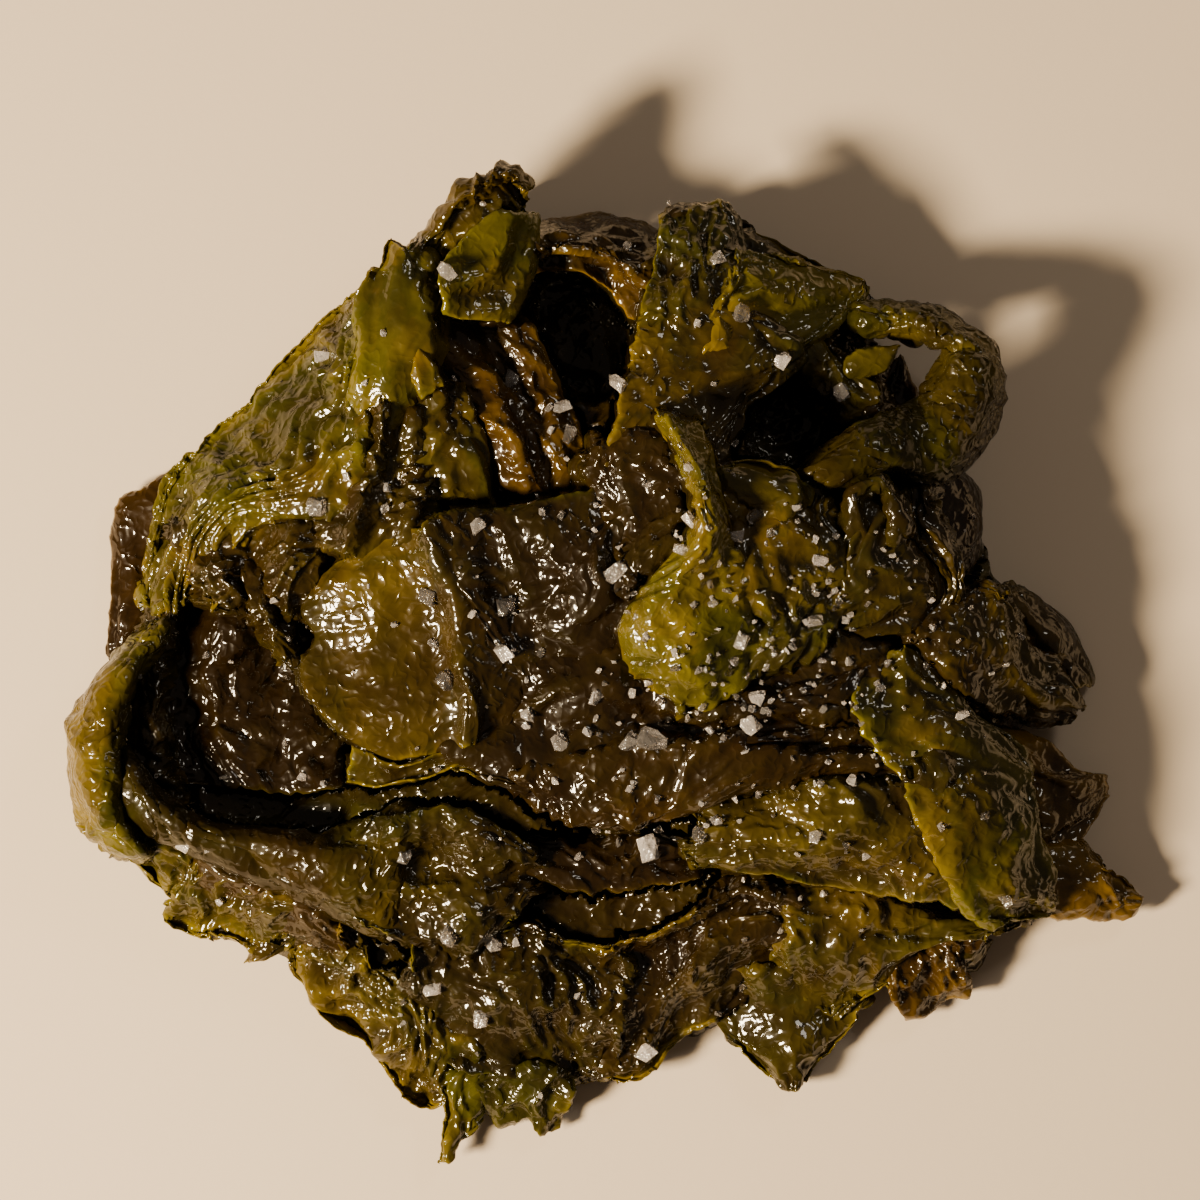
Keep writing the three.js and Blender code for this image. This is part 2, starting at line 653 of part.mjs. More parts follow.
// A thin wavy solid: the upper face, the lower face a thickness below it, and the edge between them.
function sheetSolid(sheet, number) {
  const grid = sheetGrid(sheet, number);
  const normals = gridNormals(grid);
  const up = normals.flat().reduce((sum, n) => sum + n.z, 0) < 0 ? -1 : 1;
  const rows = grid.length;
  const columns = grid[0].length;
  const upper = grid.flat();
  const lower = upper.map((p, k) => p.clone().addScaledVector(normals.flat()[k], -SHEET_THICKNESS * up));
  const under = rows * columns;
  const faces = [];
  const quad = (a, b, c, d) => faces.push(a, b, c, a, c, d);
  for (let i = 0; i + 1 < rows; i++) {
    for (let j = 0; j + 1 < columns; j++) {
      const k = i * columns + j;
      quad(k, k + 1, k + columns + 1, k + columns);
      quad(under + k, under + k + columns, under + k + columns + 1, under + k + 1);
    }
  }
  for (let i = 0; i + 1 < rows; i++) {
    const first = i * columns;
    const last = first + columns - 1;
    quad(first, first + columns, under + first + columns, under + first);
    quad(last + columns, last, under + last, under + last + columns);
  }
  for (let j = 0; j + 1 < columns; j++) {
    const far = (rows - 1) * columns + j;
    quad(j + 1, j, under + j, under + j + 1);
    quad(far, far + 1, under + far + 1, under + far);
  }
  return solidFrom([...upper, ...lower], faces);
}

// Height of the packed sheets over a place. They reach up to the sheets that cover them, but stay
// CORE_SETBACK inside those sheets' edges, so that every free edge overhangs. Where nothing covers
// them they lie low, as the floor of a hollow.
function coreHeight(cover, x, y, reach) {
  if (reach === 1) return 0;
  const floor = HOLLOW_FLOOR * (1 - reach ** FLOOR_SQUARENESS) + 1;
  const probes = Array.from({ length: CORE_PROBES }, (_, k) => {
    const angle = (2 * Math.PI * k) / CORE_PROBES;
    return topOver(cover, x + CORE_SETBACK * Math.cos(angle), y + CORE_SETBACK * Math.sin(angle));
  });
  const here = topOver(cover, x, y) ?? 0;
  const lowest = Math.min(...probes.map((top) => top ?? 0));
  const ceiling = here - lowest > CORE_STEP ? lowest : here;
  return Math.max(ceiling - SHEET_THICKNESS * 0.5, floor);
}

// The outline of the packed sheets in one direction, eased between the twelve reaches.
function coreReach(angle) {
  const step = (angle / (2 * Math.PI)) * CORE_REACH.length;
  const i = Math.floor(step);
  const ease = 0.5 - 0.5 * Math.cos(Math.PI * (step - i));
  return CORE_REACH[i % CORE_REACH.length] * (1 - ease) + CORE_REACH[(i + 1) % CORE_REACH.length] * ease;
}

// The packed sheets below: a mound with hollows and a flat underside.
function coreSolid(cover) {
  const corners = [];
  const faces = [];
  for (let ring = 0; ring <= CORE_RINGS; ring++) {
    const reach = ring / CORE_RINGS;
    for (let sector = 0; sector < CORE_SECTORS; sector++) {
      const angle = (2 * Math.PI * sector) / CORE_SECTORS;
      const x = coreReach(angle) * reach * Math.cos(angle);
      const y = coreReach(angle) * reach * Math.sin(angle);
      corners.push(new THREE.Vector3(x, y, coreHeight(cover, x, y, reach)));
    }
  }
  for (let ring = 0; ring < CORE_RINGS; ring++) {
    for (let sector = 0; sector < CORE_SECTORS; sector++) {
      const next = (sector + 1) % CORE_SECTORS;
      const inner = ring * CORE_SECTORS;
      const outer = inner + CORE_SECTORS;
      if (ring > 0) faces.push(inner + sector, outer + sector, inner + next);
      faces.push(inner + next, outer + sector, outer + next);
    }
  }
  const middle = corners.push(new THREE.Vector3(0, 0, 0)) - 1;
  const rim = CORE_RINGS * CORE_SECTORS;
  for (let sector = 0; sector < CORE_SECTORS; sector++) {
    faces.push(middle, rim + ((sector + 1) % CORE_SECTORS), rim + sector);
  }
  return solidFrom(corners, faces);
}

// A stream of even draws from 0 to 1 that is the same every time.
function draws(seed) {
  let state = seed;
  return () => {
    state = (state * 1664525 + 1013904223) % 4294967296;
    return state / 4294967296;
  };
}

// A box with its corners merged, as lists of corners and faces.
function block(length, width, height) {
  const geometry = new THREE.BoxGeometry(length, width, height);
  geometry.deleteAttribute("normal");
  geometry.deleteAttribute("uv");
  const merged = mergeVertices(geometry);
  const place = merged.attributes.position;
  const corners = Array.from({ length: place.count }, (_, k) =>
    new THREE.Vector3().fromBufferAttribute(place, k),
  );
  return { corners, faces: Array.from(merged.index.array) };
}

// A broken crystal: a block with its top corners drawn in and its whole form turned.
function crystalSolid(x, y, z, size, draw) {
  const { corners, faces } = block(size, size * (0.65 + 0.3 * draw()), size * (0.55 + 0.3 * draw()));
  const turn = new THREE.Euler(0.5 * (draw() - 0.5), 0.5 * (draw() - 0.5), 2 * Math.PI * draw());
  for (const corner of corners) {
    const drawnIn = corner.z > 0 ? 0.6 + 0.35 * draw() : 1;
    corner.set(corner.x * drawnIn, corner.y * drawnIn, corner.z).applyEuler(turn);
    corner.add(new THREE.Vector3(x, y, z + size * (0.35 - SALT_SINK)));
  }
  return solidFrom(corners, faces);
}

// The space below the surface the heap lies on.
function floorSolid() {
  const { corners, faces } = block(FLOOR_SIZE, FLOOR_SIZE, FLOOR_DEPTH);
  corners.forEach((corner) => corner.setZ(corner.z - FLOOR_DEPTH / 2));
  return solidFrom(corners, faces);
}

// ---- the heap ----

const sheets = SHEETS.map((sheet, k) => sheetSolid(sheet, k + 1)).reduce((sum, solid) => sum.add(solid));
let heap = sheets.add(coreSolid(sheets.getMesh()));
const bare = heap.getMesh();
const draw = draws(SALT_SEED);
for (const [x, y, size] of SALT) {
  heap = heap.add(crystalSolid(x, y, topOver(bare, x, y), size, draw));
}

// What would hang below the surface the heap lies on is cut off, and any loose scrap is dropped.
heap = heap.subtract(floorSolid());
const [joined] = heap.decompose().sort((a, b) => b.volume() - a.volume());

const { vertProperties, triVerts } = joined.getMesh();
const geometry = new THREE.BufferGeometry();
geometry.setAttribute("position", new THREE.BufferAttribute(vertProperties, 3));
geometry.setIndex(new THREE.BufferAttribute(triVerts, 1));
geometry.computeVertexNormals();

const kombu = new THREE.MeshStandardMaterial({ color: 0x3a3208, roughness: 0.3, metalness: 0 });
const mesh = new THREE.Mesh(geometry, kombu);
mesh.name = "kombu_heap";

const group = new THREE.Group();
group.add(mesh);
export default group;
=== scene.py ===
"""A heap of seasoned kombu: wide wet sheets of kelp folded over one another, with coarse salt on top.

Lengths are in millimetres up to the point where a mesh is made, and in metres from there on.
The origin is on the surface the heap lies on, under the middle of its outline, +Z up.
"""

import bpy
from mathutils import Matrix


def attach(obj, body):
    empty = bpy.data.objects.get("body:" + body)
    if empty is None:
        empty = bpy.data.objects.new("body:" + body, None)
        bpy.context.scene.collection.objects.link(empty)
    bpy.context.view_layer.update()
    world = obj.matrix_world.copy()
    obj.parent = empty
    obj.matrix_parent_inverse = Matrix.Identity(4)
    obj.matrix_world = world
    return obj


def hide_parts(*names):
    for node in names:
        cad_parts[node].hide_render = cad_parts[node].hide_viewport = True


bl_info = {
    "name": "Kombu heap",
    "version": (1, 0, 0),
    "blender": (4, 5, 0),
    "location": "View3D > Sidebar > Kombu",
    "description": "Builds a heap of glossy kombu sheets with coarse salt, and its stage",
    "category": "Add Mesh",
}

from functools import lru_cache
from typing import NamedTuple

import bmesh
import bpy
import numpy as np
from mathutils import Matrix, Vector

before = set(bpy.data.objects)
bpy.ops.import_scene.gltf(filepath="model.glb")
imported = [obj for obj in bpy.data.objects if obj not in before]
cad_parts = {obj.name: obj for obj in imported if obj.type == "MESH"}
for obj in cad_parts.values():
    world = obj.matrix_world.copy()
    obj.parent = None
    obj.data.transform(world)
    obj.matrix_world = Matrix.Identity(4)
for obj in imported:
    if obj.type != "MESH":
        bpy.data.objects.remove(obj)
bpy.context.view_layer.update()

MM = 0.001
TURN = 2 * np.pi
NODE = "kombu_heap"
BODY = "root"


# ---- sections of a sheet: place from the left edge (0) to the right edge (1), and rise ----


def crown(rise):
    """A low arch from edge to edge."""
    return ((0, 0), (0.5, rise), (1, 0))


def roll(rise, tuck):
    """Both edges roll under, so that the sheet reads as a fat fold."""
    left = ((0.22, -tuck), (0, -tuck * 0.4), (0.25, rise * 0.9))
    return left + ((0.75, rise * 0.9), (1, -tuck * 0.4), (0.78, -tuck))


def tuck_right(rise, tuck):
    """The right edge is a fold that turns under."""
    return ((0, 0), (0.55, rise), (0.92, 0), (1, -tuck * 0.5), (0.75, -tuck))


def lip_left(rise, lip):
    """The left edge curls up into a lip."""
    return ((0, lip), (0.12, 0), (0.5, rise), (1, 0))


class Sheet(NamedTuple):
    """A sheet as a ladder of rungs between its two long edges, with a section across them."""

    name: str
    style: str
    swell: float
    # Lightness of the sheet: partly its own colour, partly painted shade on sheets that lie in hollows and
    # painted light on sheets turned away from the key light.
    tone: float
    across: tuple
    rungs: tuple  # of each rung, the place of its left end and that of its right end
    amber: float = 0.0
    fade: float = 0.0  # how much darker it grows towards its right edge: painted shade on the side turned from the light
    free: str = ""  # edges that stay free though the heap goes on past them, as in SIDES


# From the bottom of the heap to its top.
# fmt: off
SHEETS = (
    # fringe, low
    Sheet("left_corner", "smooth", swell=1, tone=0.05, amber=0.5, across=crown(1.5), rungs=(
        (-88, 50, 9, -82, 42, 8), (-100, 42, 5, -92, 34, 7.5), (-109, 36, 4, -98, 26, 7),
        (-109.5, 18, 4, -101, 14, 7), (-110.8, 4.4, 4, -105, 5, 6))),
    Sheet("back_arch", "blister", swell=0.8, tone=0.5, amber=0.4,
          across=((0, 0), (0.3, 7), (0.7, 5), (1, 0), (1.15, -9), (1.7, -23)), rungs=(
        (-18, 97, 5, -18, 90, 26), (-10, 100.5, 4, -9, 92, 27), (0, 100.5, 4, 0, 90, 26),
        (8, 98, 4, 5, 86.5, 25), (14, 95, 5, 11, 82, 24))),
    Sheet("back_fringe", "blister", swell=1.5, tone=0.15, across=crown(2), rungs=(
        (24, 97, 8, 24, 86, 18), (33, 96, 6, 33, 85, 17), (42, 91, 6, 41, 82, 16),
        (52, 86.5, 5, 49, 78, 14), (58, 84, 5, 54, 75, 12))),
    Sheet("right_back", "smooth", swell=1.2, tone=0, amber=0.5, across=crown(3), rungs=(
        (76, 46, 8, 64, 44, 22), (82.6, 40, 6, 66, 38, 22), (83.5, 32, 5, 67, 30, 22),
        (81.5, 24, 6, 68, 22, 22), (78, 17, 8, 68, 14, 22))),
    Sheet("right_tip_leaf", "blister", swell=1.2, tone=0.55, amber=0.4, across=crown(1.5), rungs=(
        (88, -12, 10, 82, -16, 18), (97, -15, 10, 86, -21, 18), (103, -21, 8, 89, -25, 17),
        (110.5, -23, 6, 91, -29, 16), (112, -28, 5, 92, -33, 16), (109, -33, 6, 93, -37, 15),
        (103, -39.5, 8, 94, -42, 14))),
    Sheet("right_tip", "blister", swell=1.2, tone=0.8, amber=0.4, across=crown(3), rungs=(
        (92, -38, 17, 94, -56, 13), (102, -40.5, 13, 102, -57, 9), (110, -43, 9, 108, -58, 6),
        (115.5, -47, 7, 113, -56.5, 5), (118, -51, 5, 117, -53, 4))),
    Sheet("right_arch", "blister", swell=1, tone=0.4,
          across=((0, -6), (0, 0), (0.4, 2), (1, -3)), rungs=(
        (80, 17, 19, 80, 10, 22), (86, 18.7, 15, 86, 11, 20), (92, 17, 12, 90, 9, 18),
        (99, 12, 9, 93, 4, 16), (104, 3, 7, 96, -1, 14), (107, -6, 5, 99, -6, 12))),
    Sheet("low_right_ruffle", "ruffle", swell=2, tone=0.38, amber=0.5, across=crown(2), rungs=(
        (64, -69, 5, 58, -60, 14), (65.5, -79, 4, 63, -63, 13), (74, -75, 4, 69, -63, 12),
        (80, -70.5, 5, 74, -61, 13), (81.5, -65, 6, 76, -58, 13), (88.5, -56.5, 8, 79, -54, 14))),
    Sheet("low_right_leaf", "blister", swell=1.8, tone=0.42, amber=-0.1, across=crown(3), rungs=(
        (25, -64, 14, 54, -66, 12), (25.5, -73, 8, 57, -74, 8), (29, -83, 5, 51, -82, 6),
        (36, -90, 4, 45.5, -87, 5), (40, -93, 4, 43, -92.5, 4))),
    Sheet("left_fringe", "ruffle", swell=2, tone=0.7, amber=-0.1, across=crown(2), rungs=(
        (-109, -38, 10, -104, -30, 20), (-101, -45, 6, -96, -34, 18), (-95, -50, 5, -89, -38, 17),
        (-97, -55.5, 4, -87, -42, 17), (-90, -59, 4, -82, -45, 18), (-83, -59.5, 5, -77, -47, 19),
        (-76, -61, 7, -72, -49, 20), (-69, -58, 9, -64, -50, 20))),
    Sheet("left_fringe_tip", "blister", swell=1, tone=0.25, across=crown(1), rungs=(
        (-78, -55, 9, -66, -54, 14), (-80, -61, 6, -69, -59, 9), (-80.5, -66, 4, -75, -64, 5))),
    Sheet("low_left_amber", "ruffle", swell=1.8, tone=0.58, amber=-0.05, across=crown(1.5), rungs=(
        (-67, -57, 10, -58, -54, 17), (-69, -66, 5, -55, -60, 16), (-63.5, -75, 4, -51, -65, 16),
        (-54, -81, 4, -46, -69, 16), (-50, -86, 4, -41, -72, 15), (-45.5, -93, 4, -37, -76, 14),
        (-40, -97, 5, -32, -79, 13), (-33, -94, 7, -27, -81, 13))),
    Sheet("tip_long", "blister", swell=1, tone=0.75, amber=-0.2, across=crown(2), rungs=(
        (-36, -88, 8, -27, -86, 9), (-35.5, -95, 7, -29, -95, 7), (-36.5, -102, 6, -29.3, -101, 6),
        (-37.8, -109, 5, -32.5, -108, 4))),
    Sheet("tip_wide", "ruffle", swell=1.5, tone=0.5, amber=-0.25, across=crown(1.5), rungs=(
        (-30, -98, 5, -30, -87, 11), (-24, -101.5, 4, -22, -87, 11), (-17.5, -102, 4, -15, -87, 11),
        (-14, -104, 4, -10, -88, 10), (-8, -99.5, 4, -5, -91, 8))),
    # middle
    Sheet("low_right_body", "blister", swell=2, tone=0.58, amber=-0.15, across=crown(4), rungs=(
        (40, -48, 24, 38, -70, 10), (52, -49, 24, 48, -75, 8), (64, -52, 22, 57, -72, 9),
        (76, -55, 18, 66, -65, 11), (90, -55, 13, 80, -60, 11))),
    Sheet("bottom_right", "blister", swell=2, tone=0.1,
          across=((0, 0), (0.2, -3), (0.45, 3), (0.7, 1), (1, 0)), rungs=(
        (0, -60, 20, 0, -91, 6), (10, -58, 22, 9, -90, 6), (21, -52, 24, 17, -81, 7),
        (31, -48, 25, 27, -75, 9), (42, -50, 24, 40, -68, 11))),
    Sheet("bottom_left", "ruffle", swell=2.2, tone=0.18, amber=-0.15, free="R",
          across=((0, 0), (0.25, 2), (0.5, 4), (0.8, 1), (1, 0)), rungs=(
        (-44, -56, 22, -40, -83, 10), (-30, -57, 22, -26, -90, 7), (-14, -58, 21, -10, -93, 6),
        (4, -60, 20, 3, -92, 6))),
    # its low lightness is painted shade at the bottom of the left hollow
    Sheet("hollow_left", "blister", swell=2.2, tone=-0.25,
          across=((0, 0), (0.25, -3), (0.45, 1), (0.7, -2), (1, 0)), rungs=(
        (-102, 8, 13, -62, 12, 18), (-103, -4, 12, -62, 0, 15), (-103, -16, 11, -60, -14, 15),
        (-98, -26, 13, -56, -30, 20))),
    Sheet("hollow_ruffle", "ruffle", swell=2, tone=0.25,
          across=((0, -8), (0.1, 0), (0.4, 3), (0.8, 0), (1, -9)), rungs=(
        (-84, 20, 20, -70, 22, 22), (-80, 14, 21, -68, 15, 23), (-76, 8, 20, -67, 8, 22),
        (-72, 3, 18, -66, 2, 20))),
    Sheet("low_strip", "blister", swell=1, tone=-0.1, free="R", across=crown(1), rungs=(
        (-24, -36, 24, -20, -47, 22), (-8, -38, 24, -6, -49.5, 25), (6, -38, 24, 6, -49.5, 25),
        (21, -38, 25, 20, -47, 24))),
    Sheet("inner_back_a", "blister", swell=1.5, tone=0.4, amber=0.4, free="R",
          across=((0, 0), (0.35, 2.5), (0.5, -1.5), (0.75, 1), (1, 0.5)), rungs=(
        (-38, 76, 27, -14, 74, 20), (-36, 66, 29, -9.5, 64, 21), (-30, 58, 29, -6, 55, 22),
        (-26, 50, 29, -3.5, 47, 24), (-22, 41, 29, -3, 40, 25))),
    Sheet("inner_back_b", "blister", swell=1.2, tone=0.62, across=tuck_right(2, 5), rungs=(
        (-44, 62, 32, -31, 60, 32), (-44, 54, 32, -29, 55, 32), (-42, 46, 31, -26, 48, 31),
        (-41, 38, 30, -25, 39, 29))),
    Sheet("lens_leaf_a", "smooth", swell=0.6, tone=0.8, amber=-0.1, free="SELR",
          across=crown(1.5), rungs=(
        (51, 62, 22, 50, 66, 22), (56, 61.5, 23, 54, 69.5, 23), (62, 65, 23, 59, 70.5, 23),
        (64.5, 70.5, 22, 64, 71, 22))),
    Sheet("lens_leaf_b", "blister", swell=1, tone=0.7, free="SER",
          across=((0, -9), (0, -1), (0.3, 1.5), (0.7, 1.5), (1, 0)), rungs=(
        (40, 65, 22, 41, 68, 23), (45, 59, 22, 46, 72, 23), (51, 55, 22, 51, 67, 22),
        (60, 54.5, 22, 60, 62, 20))),
    Sheet("thin_brown_leaf", "smooth", swell=0.8, tone=0.4, amber=0.7, free="SELR",
          across=crown(1), rungs=(
        (56, 46, 12, 66, 50, 12), (59, 54, 15, 69, 58, 14), (60, 62, 14, 68, 63, 13),
        (63, 69, 13, 65, 69, 12))),
    Sheet("loop_rope", "blister", swell=1.5, tone=0.6, amber=-0.1, across=roll(5, 8), rungs=(
        (58, 80, 18, 59, 73, 18), (66, 79, 20, 66, 72.5, 20), (75, 75.5, 22, 71, 72, 23),
        (82.5, 70.5, 24, 73.5, 69.5, 25), (85.5, 61.5, 25, 71, 63, 28), (81.5, 50, 26, 69, 59, 30),
        (71, 40.5, 30, 62, 55, 33), (60, 42, 34, 54, 52, 36), (48, 39, 37, 41, 42, 38))),
    Sheet("lower_right_wide", "blister", swell=1.8, tone=0.48, amber=-0.15, free="R",
          across=crown(3), rungs=(
        (20.5, -34, 33, 20.6, -44, 27), (35, -29, 34, 35, -45.6, 28), (50, -26, 36, 50, -48, 28),
        (63, -24, 38, 65, -52, 26), (72, -20, 38, 78, -56, 23))),
    Sheet("lower_right_lobe", "blister", swell=1.5, tone=0.74, amber=-0.18, free="SL",
          across=tuck_right(3, 8), rungs=(
        (61, 6, 33, 67, 5.5, 31), (53.5, -2, 37, 79, -7.5, 29), (53, -12, 38, 89, -15.5, 26),
        (60, -22, 38, 92.5, -26, 26), (67, -34, 36, 94.5, -38, 24), (71, -45, 32, 98, -48, 20),
        (76, -56, 23, 98, -54, 14))),
    Sheet("right_cluster", "blister", swell=1.5, tone=0.42, across=crown(4), rungs=(
        (69, 12, 31, 69, 2, 31), (78, 17, 30, 75, -3.5, 30), (86, 16, 26, 81, -7, 26),
        (91, 8.5, 22, 86, -8.5, 21), (96, 0, 18, 92, -9.5, 17), (101, -3, 13, 99, -10, 12),
        (106, -8, 8, 105, -10, 8))),
    # upper
    Sheet("left_ribbed", "ribbed", swell=1.2, tone=0.72, amber=-0.15, across=crown(5), rungs=(
        (-51, 84, 20, -47.5, 81, 31), (-61, 77, 15, -51, 66, 35), (-74, 64.5, 12, -52, 52, 36),
        (-86, 53, 11, -60, 34, 33), (-96, 38, 11, -80, 33, 25), (-101.5, 13, 10, -90, 14, 15))),
    Sheet("left_roll", "blister", swell=1.5, tone=0.88, amber=-0.12, across=roll(5, 9), rungs=(
        (-103, 6, 14, -98, 5, 17), (-111, -3, 18, -103, -3, 22), (-117, -13, 19, -105.5, -14, 24),
        (-116.8, -24, 18, -106, -24, 25), (-115, -34, 15, -105, -32, 23),
        (-110, -38.5, 12, -101, -38, 19))),
    Sheet("long_fold", "blister", swell=1.2, tone=0.38, amber=-0.15, across=roll(4, 8), rungs=(
        (-104.5, -19, 22, -104, -34, 18), (-97, -28.5, 25, -97, -37, 19),
        (-85, -34.5, 26, -86, -41, 21), (-71, -36.5, 27, -74, -47, 22),
        (-57, -35, 28, -61, -51.5, 23), (-44, -31, 29, -50, -57.5, 24))),
    Sheet("mid_left_lumps", "blister", swell=2, tone=0.25, amber=-0.15,
          across=((0, 0), (0.2, 2.5), (0.45, -1), (0.7, 2.5), (1, 0)), rungs=(
        (-52, -31, 29, -56, -55, 24), (-40, -29, 31, -44, -59, 25), (-28, -30, 31, -32, -60, 26),
        (-16, -37, 29, -19, -54, 26))),
    Sheet("centre_low", "blister", swell=1.5, tone=0,
          across=((0, 0), (0.3, 2), (0.55, -1), (0.8, 1.5), (1, 0)), rungs=(
        (-28, 4, 33, -34, -22, 30), (-10, 6, 35, -14, -26, 32), (8, 3, 36, 4, -25, 34),
        (26, -5, 37, 22, -20, 35), (44, -4, 37, 42, -17, 35), (58, 1, 34, 56, -18, 33))),
    Sheet("lens_long", "blister", swell=0.8, tone=0.22, amber=0.25, free="R",
          across=tuck_right(1, 4), rungs=(
        (-22, -21, 34, -20, -26, 33), (-8, -20, 36, -9, -33, 34), (8, -18, 38, 4, -34, 35),
        (25, -16, 39, 20, -30, 36), (42, -16, 38, 36, -25, 36), (56, -18, 36, 52, -23, 35),
        (68, -23, 33, 68, -25, 32))),
    Sheet("centre_dark", "blister", swell=1.5, tone=-0.1, amber=-0.2, free="LS",
          across=((0, 0), (0.18, 3), (0.4, -1), (0.75, 2), (1, 0)), rungs=(
        (-43, 33, 33, 2, 42, 38), (-39, 22, 34, 4, 28, 40), (-35, 12, 33, 5, 14, 40),
        (-29, 3, 32, 7, 2, 38))),
    Sheet("left_smooth", "smooth", swell=1.6, tone=0.48, amber=0.12, fade=0.45, free="SLE",
          across=((0, -5), (0, 0), (0.3, 0.8), (0.55, 2.2), (0.66, 4.8), (0.76, 1.6), (0.9, -1), (1, -2)),
          rungs=(
        (-61, 23, 28, -30, 37, 37), (-66, 13, 27, -21, 28, 36), (-63, 7, 28, -17, 17, 36),
        (-65.5, -2, 28, -15, 6, 35), (-57, -13, 30, -16, -5, 34), (-42, -21, 30, -24, -17, 32))),
    Sheet("left_curled_leaf", "smooth", swell=0.6, tone=0.5, free="SELR",
          across=lip_left(1, 3), rungs=(
        (-57, -24, 26, -56, -14, 30), (-50, -25.5, 27, -48, -18, 31),
        (-43, -23.5, 28, -41, -19, 31), (-36, -22, 29, -35, -17, 31),
        (-28, -19, 29, -30, -16, 31))),
    Sheet("upper_small", "smooth", swell=1, tone=0.92, amber=-0.15, across=crown(2.5), rungs=(
        (-47, 95, 30, -40, 88, 33), (-51, 82, 34, -39, 80, 36), (-52.5, 66, 36, -39, 70, 37),
        (-51, 53, 33, -42, 57, 35), (-50, 46, 28, -44, 48, 28))),
    Sheet("upper_flap", "smooth", swell=0.4, tone=0.9, free="SELR", across=crown(1), rungs=(
        (-41, 72, 37, -43, 64, 36), (-36, 67, 38.5, -42, 60, 36), (-33.5, 61, 38, -41, 57, 36))),
    Sheet("crest_ruffle", "ruffle", swell=1.5, tone=0.6, free="SEL",
          across=((0, -4), (0, 1), (0.35, 3.5), (0.7, -1.5), (1.4, -6)), rungs=(
        (-45, 85, 24, -38, 84, 30), (-42, 92.5, 27, -37, 89, 33), (-36, 101, 30, -32, 95, 35),
        (-30, 106, 31, -26, 100, 35), (-23, 109.5, 31, -20, 103, 33),
        (-16.5, 103, 27, -16, 100, 29))),
    Sheet("crest_body", "smooth", swell=1.2, tone=1, amber=-0.2, free="SELR",
          across=tuck_right(1.5, 10), rungs=(
        (-38, 76, 38, -21.5, 74, 33), (-37.5, 83, 40, -17.5, 82, 31),
        (-32.5, 91.5, 41, -15.5, 91, 30), (-24, 100.5, 37, -15, 100, 28))),
    Sheet("centre_back", "blister", swell=1.2, tone=0.45, amber=-0.1, free="L",
          across=crown(2), rungs=(
        (10.5, 100, 26, 25, 104, 22), (9.5, 88, 30, 27, 92, 30), (7, 79, 33, 28, 80, 33),
        (4, 69, 36, 41, 68, 31), (1, 59, 38, 30, 58, 34), (-1.5, 43, 39, 25, 44, 40))),
    Sheet("back_lobe", "blister", swell=1.8, tone=1.15, amber=-0.1, free="S",
          across=((0, 0), (0.15, 2.5), (0.5, 1.5), (1, 0)), rungs=(
        (27, 93, 29, 33, 90.5, 25), (26, 86, 32, 45, 88, 21), (23, 78, 34, 57, 83, 18),
        (20, 70, 34, 41, 66, 31))),
    Sheet("dark_tip", "blister", swell=1, tone=0.1, free="SELR", across=crown(2), rungs=(
        (10.5, 98, 24, 13, 94, 27), (14, 102, 22, 20, 98, 27), (25, 105, 16, 27, 91, 26))),
    Sheet("right_lumps", "blister", swell=2, tone=0.62, across=crown(2), rungs=(
        (25, 46, 42, 46, 41, 38), (25, 36, 45, 47, 33, 41), (27, 24, 46, 51, 22, 42),
        (28, 13, 44, 50, 11, 40), (27, 2, 42, 47, 2, 37))),
    Sheet("right_strip", "blister", swell=0.8, tone=0.62, amber=-0.2, across=crown(1.5), rungs=(
        (25, 45.5, 45, 26, 36, 46), (35, 44, 44, 33, 35.5, 45), (41, 42, 42, 39, 34.5, 44),
        (46, 37, 40, 43, 33.5, 42))),
    Sheet("right_curl_body", "ribbed", swell=1, tone=0.45,
          across=((0, -4), (0, 0), (0.3, 3), (0.7, 2), (0.85, -2), (1, 1)), rungs=(
        (52.5, 31, 40, 68.5, 40, 34), (51.5, 20, 41, 70, 30, 33), (49.5, 14, 39, 76.5, 19, 30),
        (46, 8, 36, 73, 8, 29))),
    Sheet("right_curl_top", "blister", swell=0.6, tone=0.6, across=roll(3, 5), rungs=(
        (51, 33, 39, 58, 29, 38), (53, 39, 41, 57, 35, 36), (59, 42.5, 42, 59, 38, 37),
        (63, 38, 40, 60, 36, 37), (66, 30, 38, 60, 28, 38))),
    Sheet("centre_ridge", "blister", swell=1, tone=0.97, amber=-0.12,
          across=((0.22, -7), (0, -3), (0.25, 4.5), (0.62, 4.5), (1, 0.5), (1.05, -4)), rungs=(
        (11, 53, 43, 20, 52.5, 44), (15.5, 46, 48, 23, 43, 48), (18, 37, 51, 25.5, 34, 50),
        (17, 28, 51, 27.5, 26, 49), (9, 20, 47, 31, 18, 46), (3, 11, 44, 32, 8, 44),
        (5, 0, 41, 30, -2, 41), (10, -5, 38, 24, -9, 38))),
    # folds between them
    Sheet("fold_left_under", "ruffle", swell=2, tone=0.25,
          across=((0, 0), (0.25, 3), (0.5, -2), (0.75, 3), (1, 0)), rungs=(
        (-93, 31, 19, -60, 31, 28), (-90, 22, 19, -63, 23, 27), (-86, 14, 20, -66, 14, 25))),
    Sheet("fold_left_upper", "ruffle", swell=2, tone=0.35,
          across=((0, 0), (0.3, 4), (0.6, -1), (1, 1)), rungs=(
        (-51, 58, 32, -40, 56, 34), (-54, 47, 31, -40, 46, 34), (-58, 37, 30, -41, 37, 35),
        (-62, 28, 30, -43, 28, 35))),
    # hanging down the sides
    Sheet("side_left_back", "blister", swell=2.4, tone=0.3, amber=0.4, free="L",
          across=((0, 0), (0.4, 3), (1, 0)), rungs=(
        (-97, 38, 2, -86, 32, 21), (-88, 47, 2, -79, 40, 22), (-79, 56, 2, -70, 48, 24),
        (-69, 65, 2, -61, 56, 25))),
    Sheet("side_back_left", "ruffle", swell=2.6, tone=0.35, amber=0.1, free="L",
          across=((0, 0), (0.4, 4), (1, 0)), rungs=(
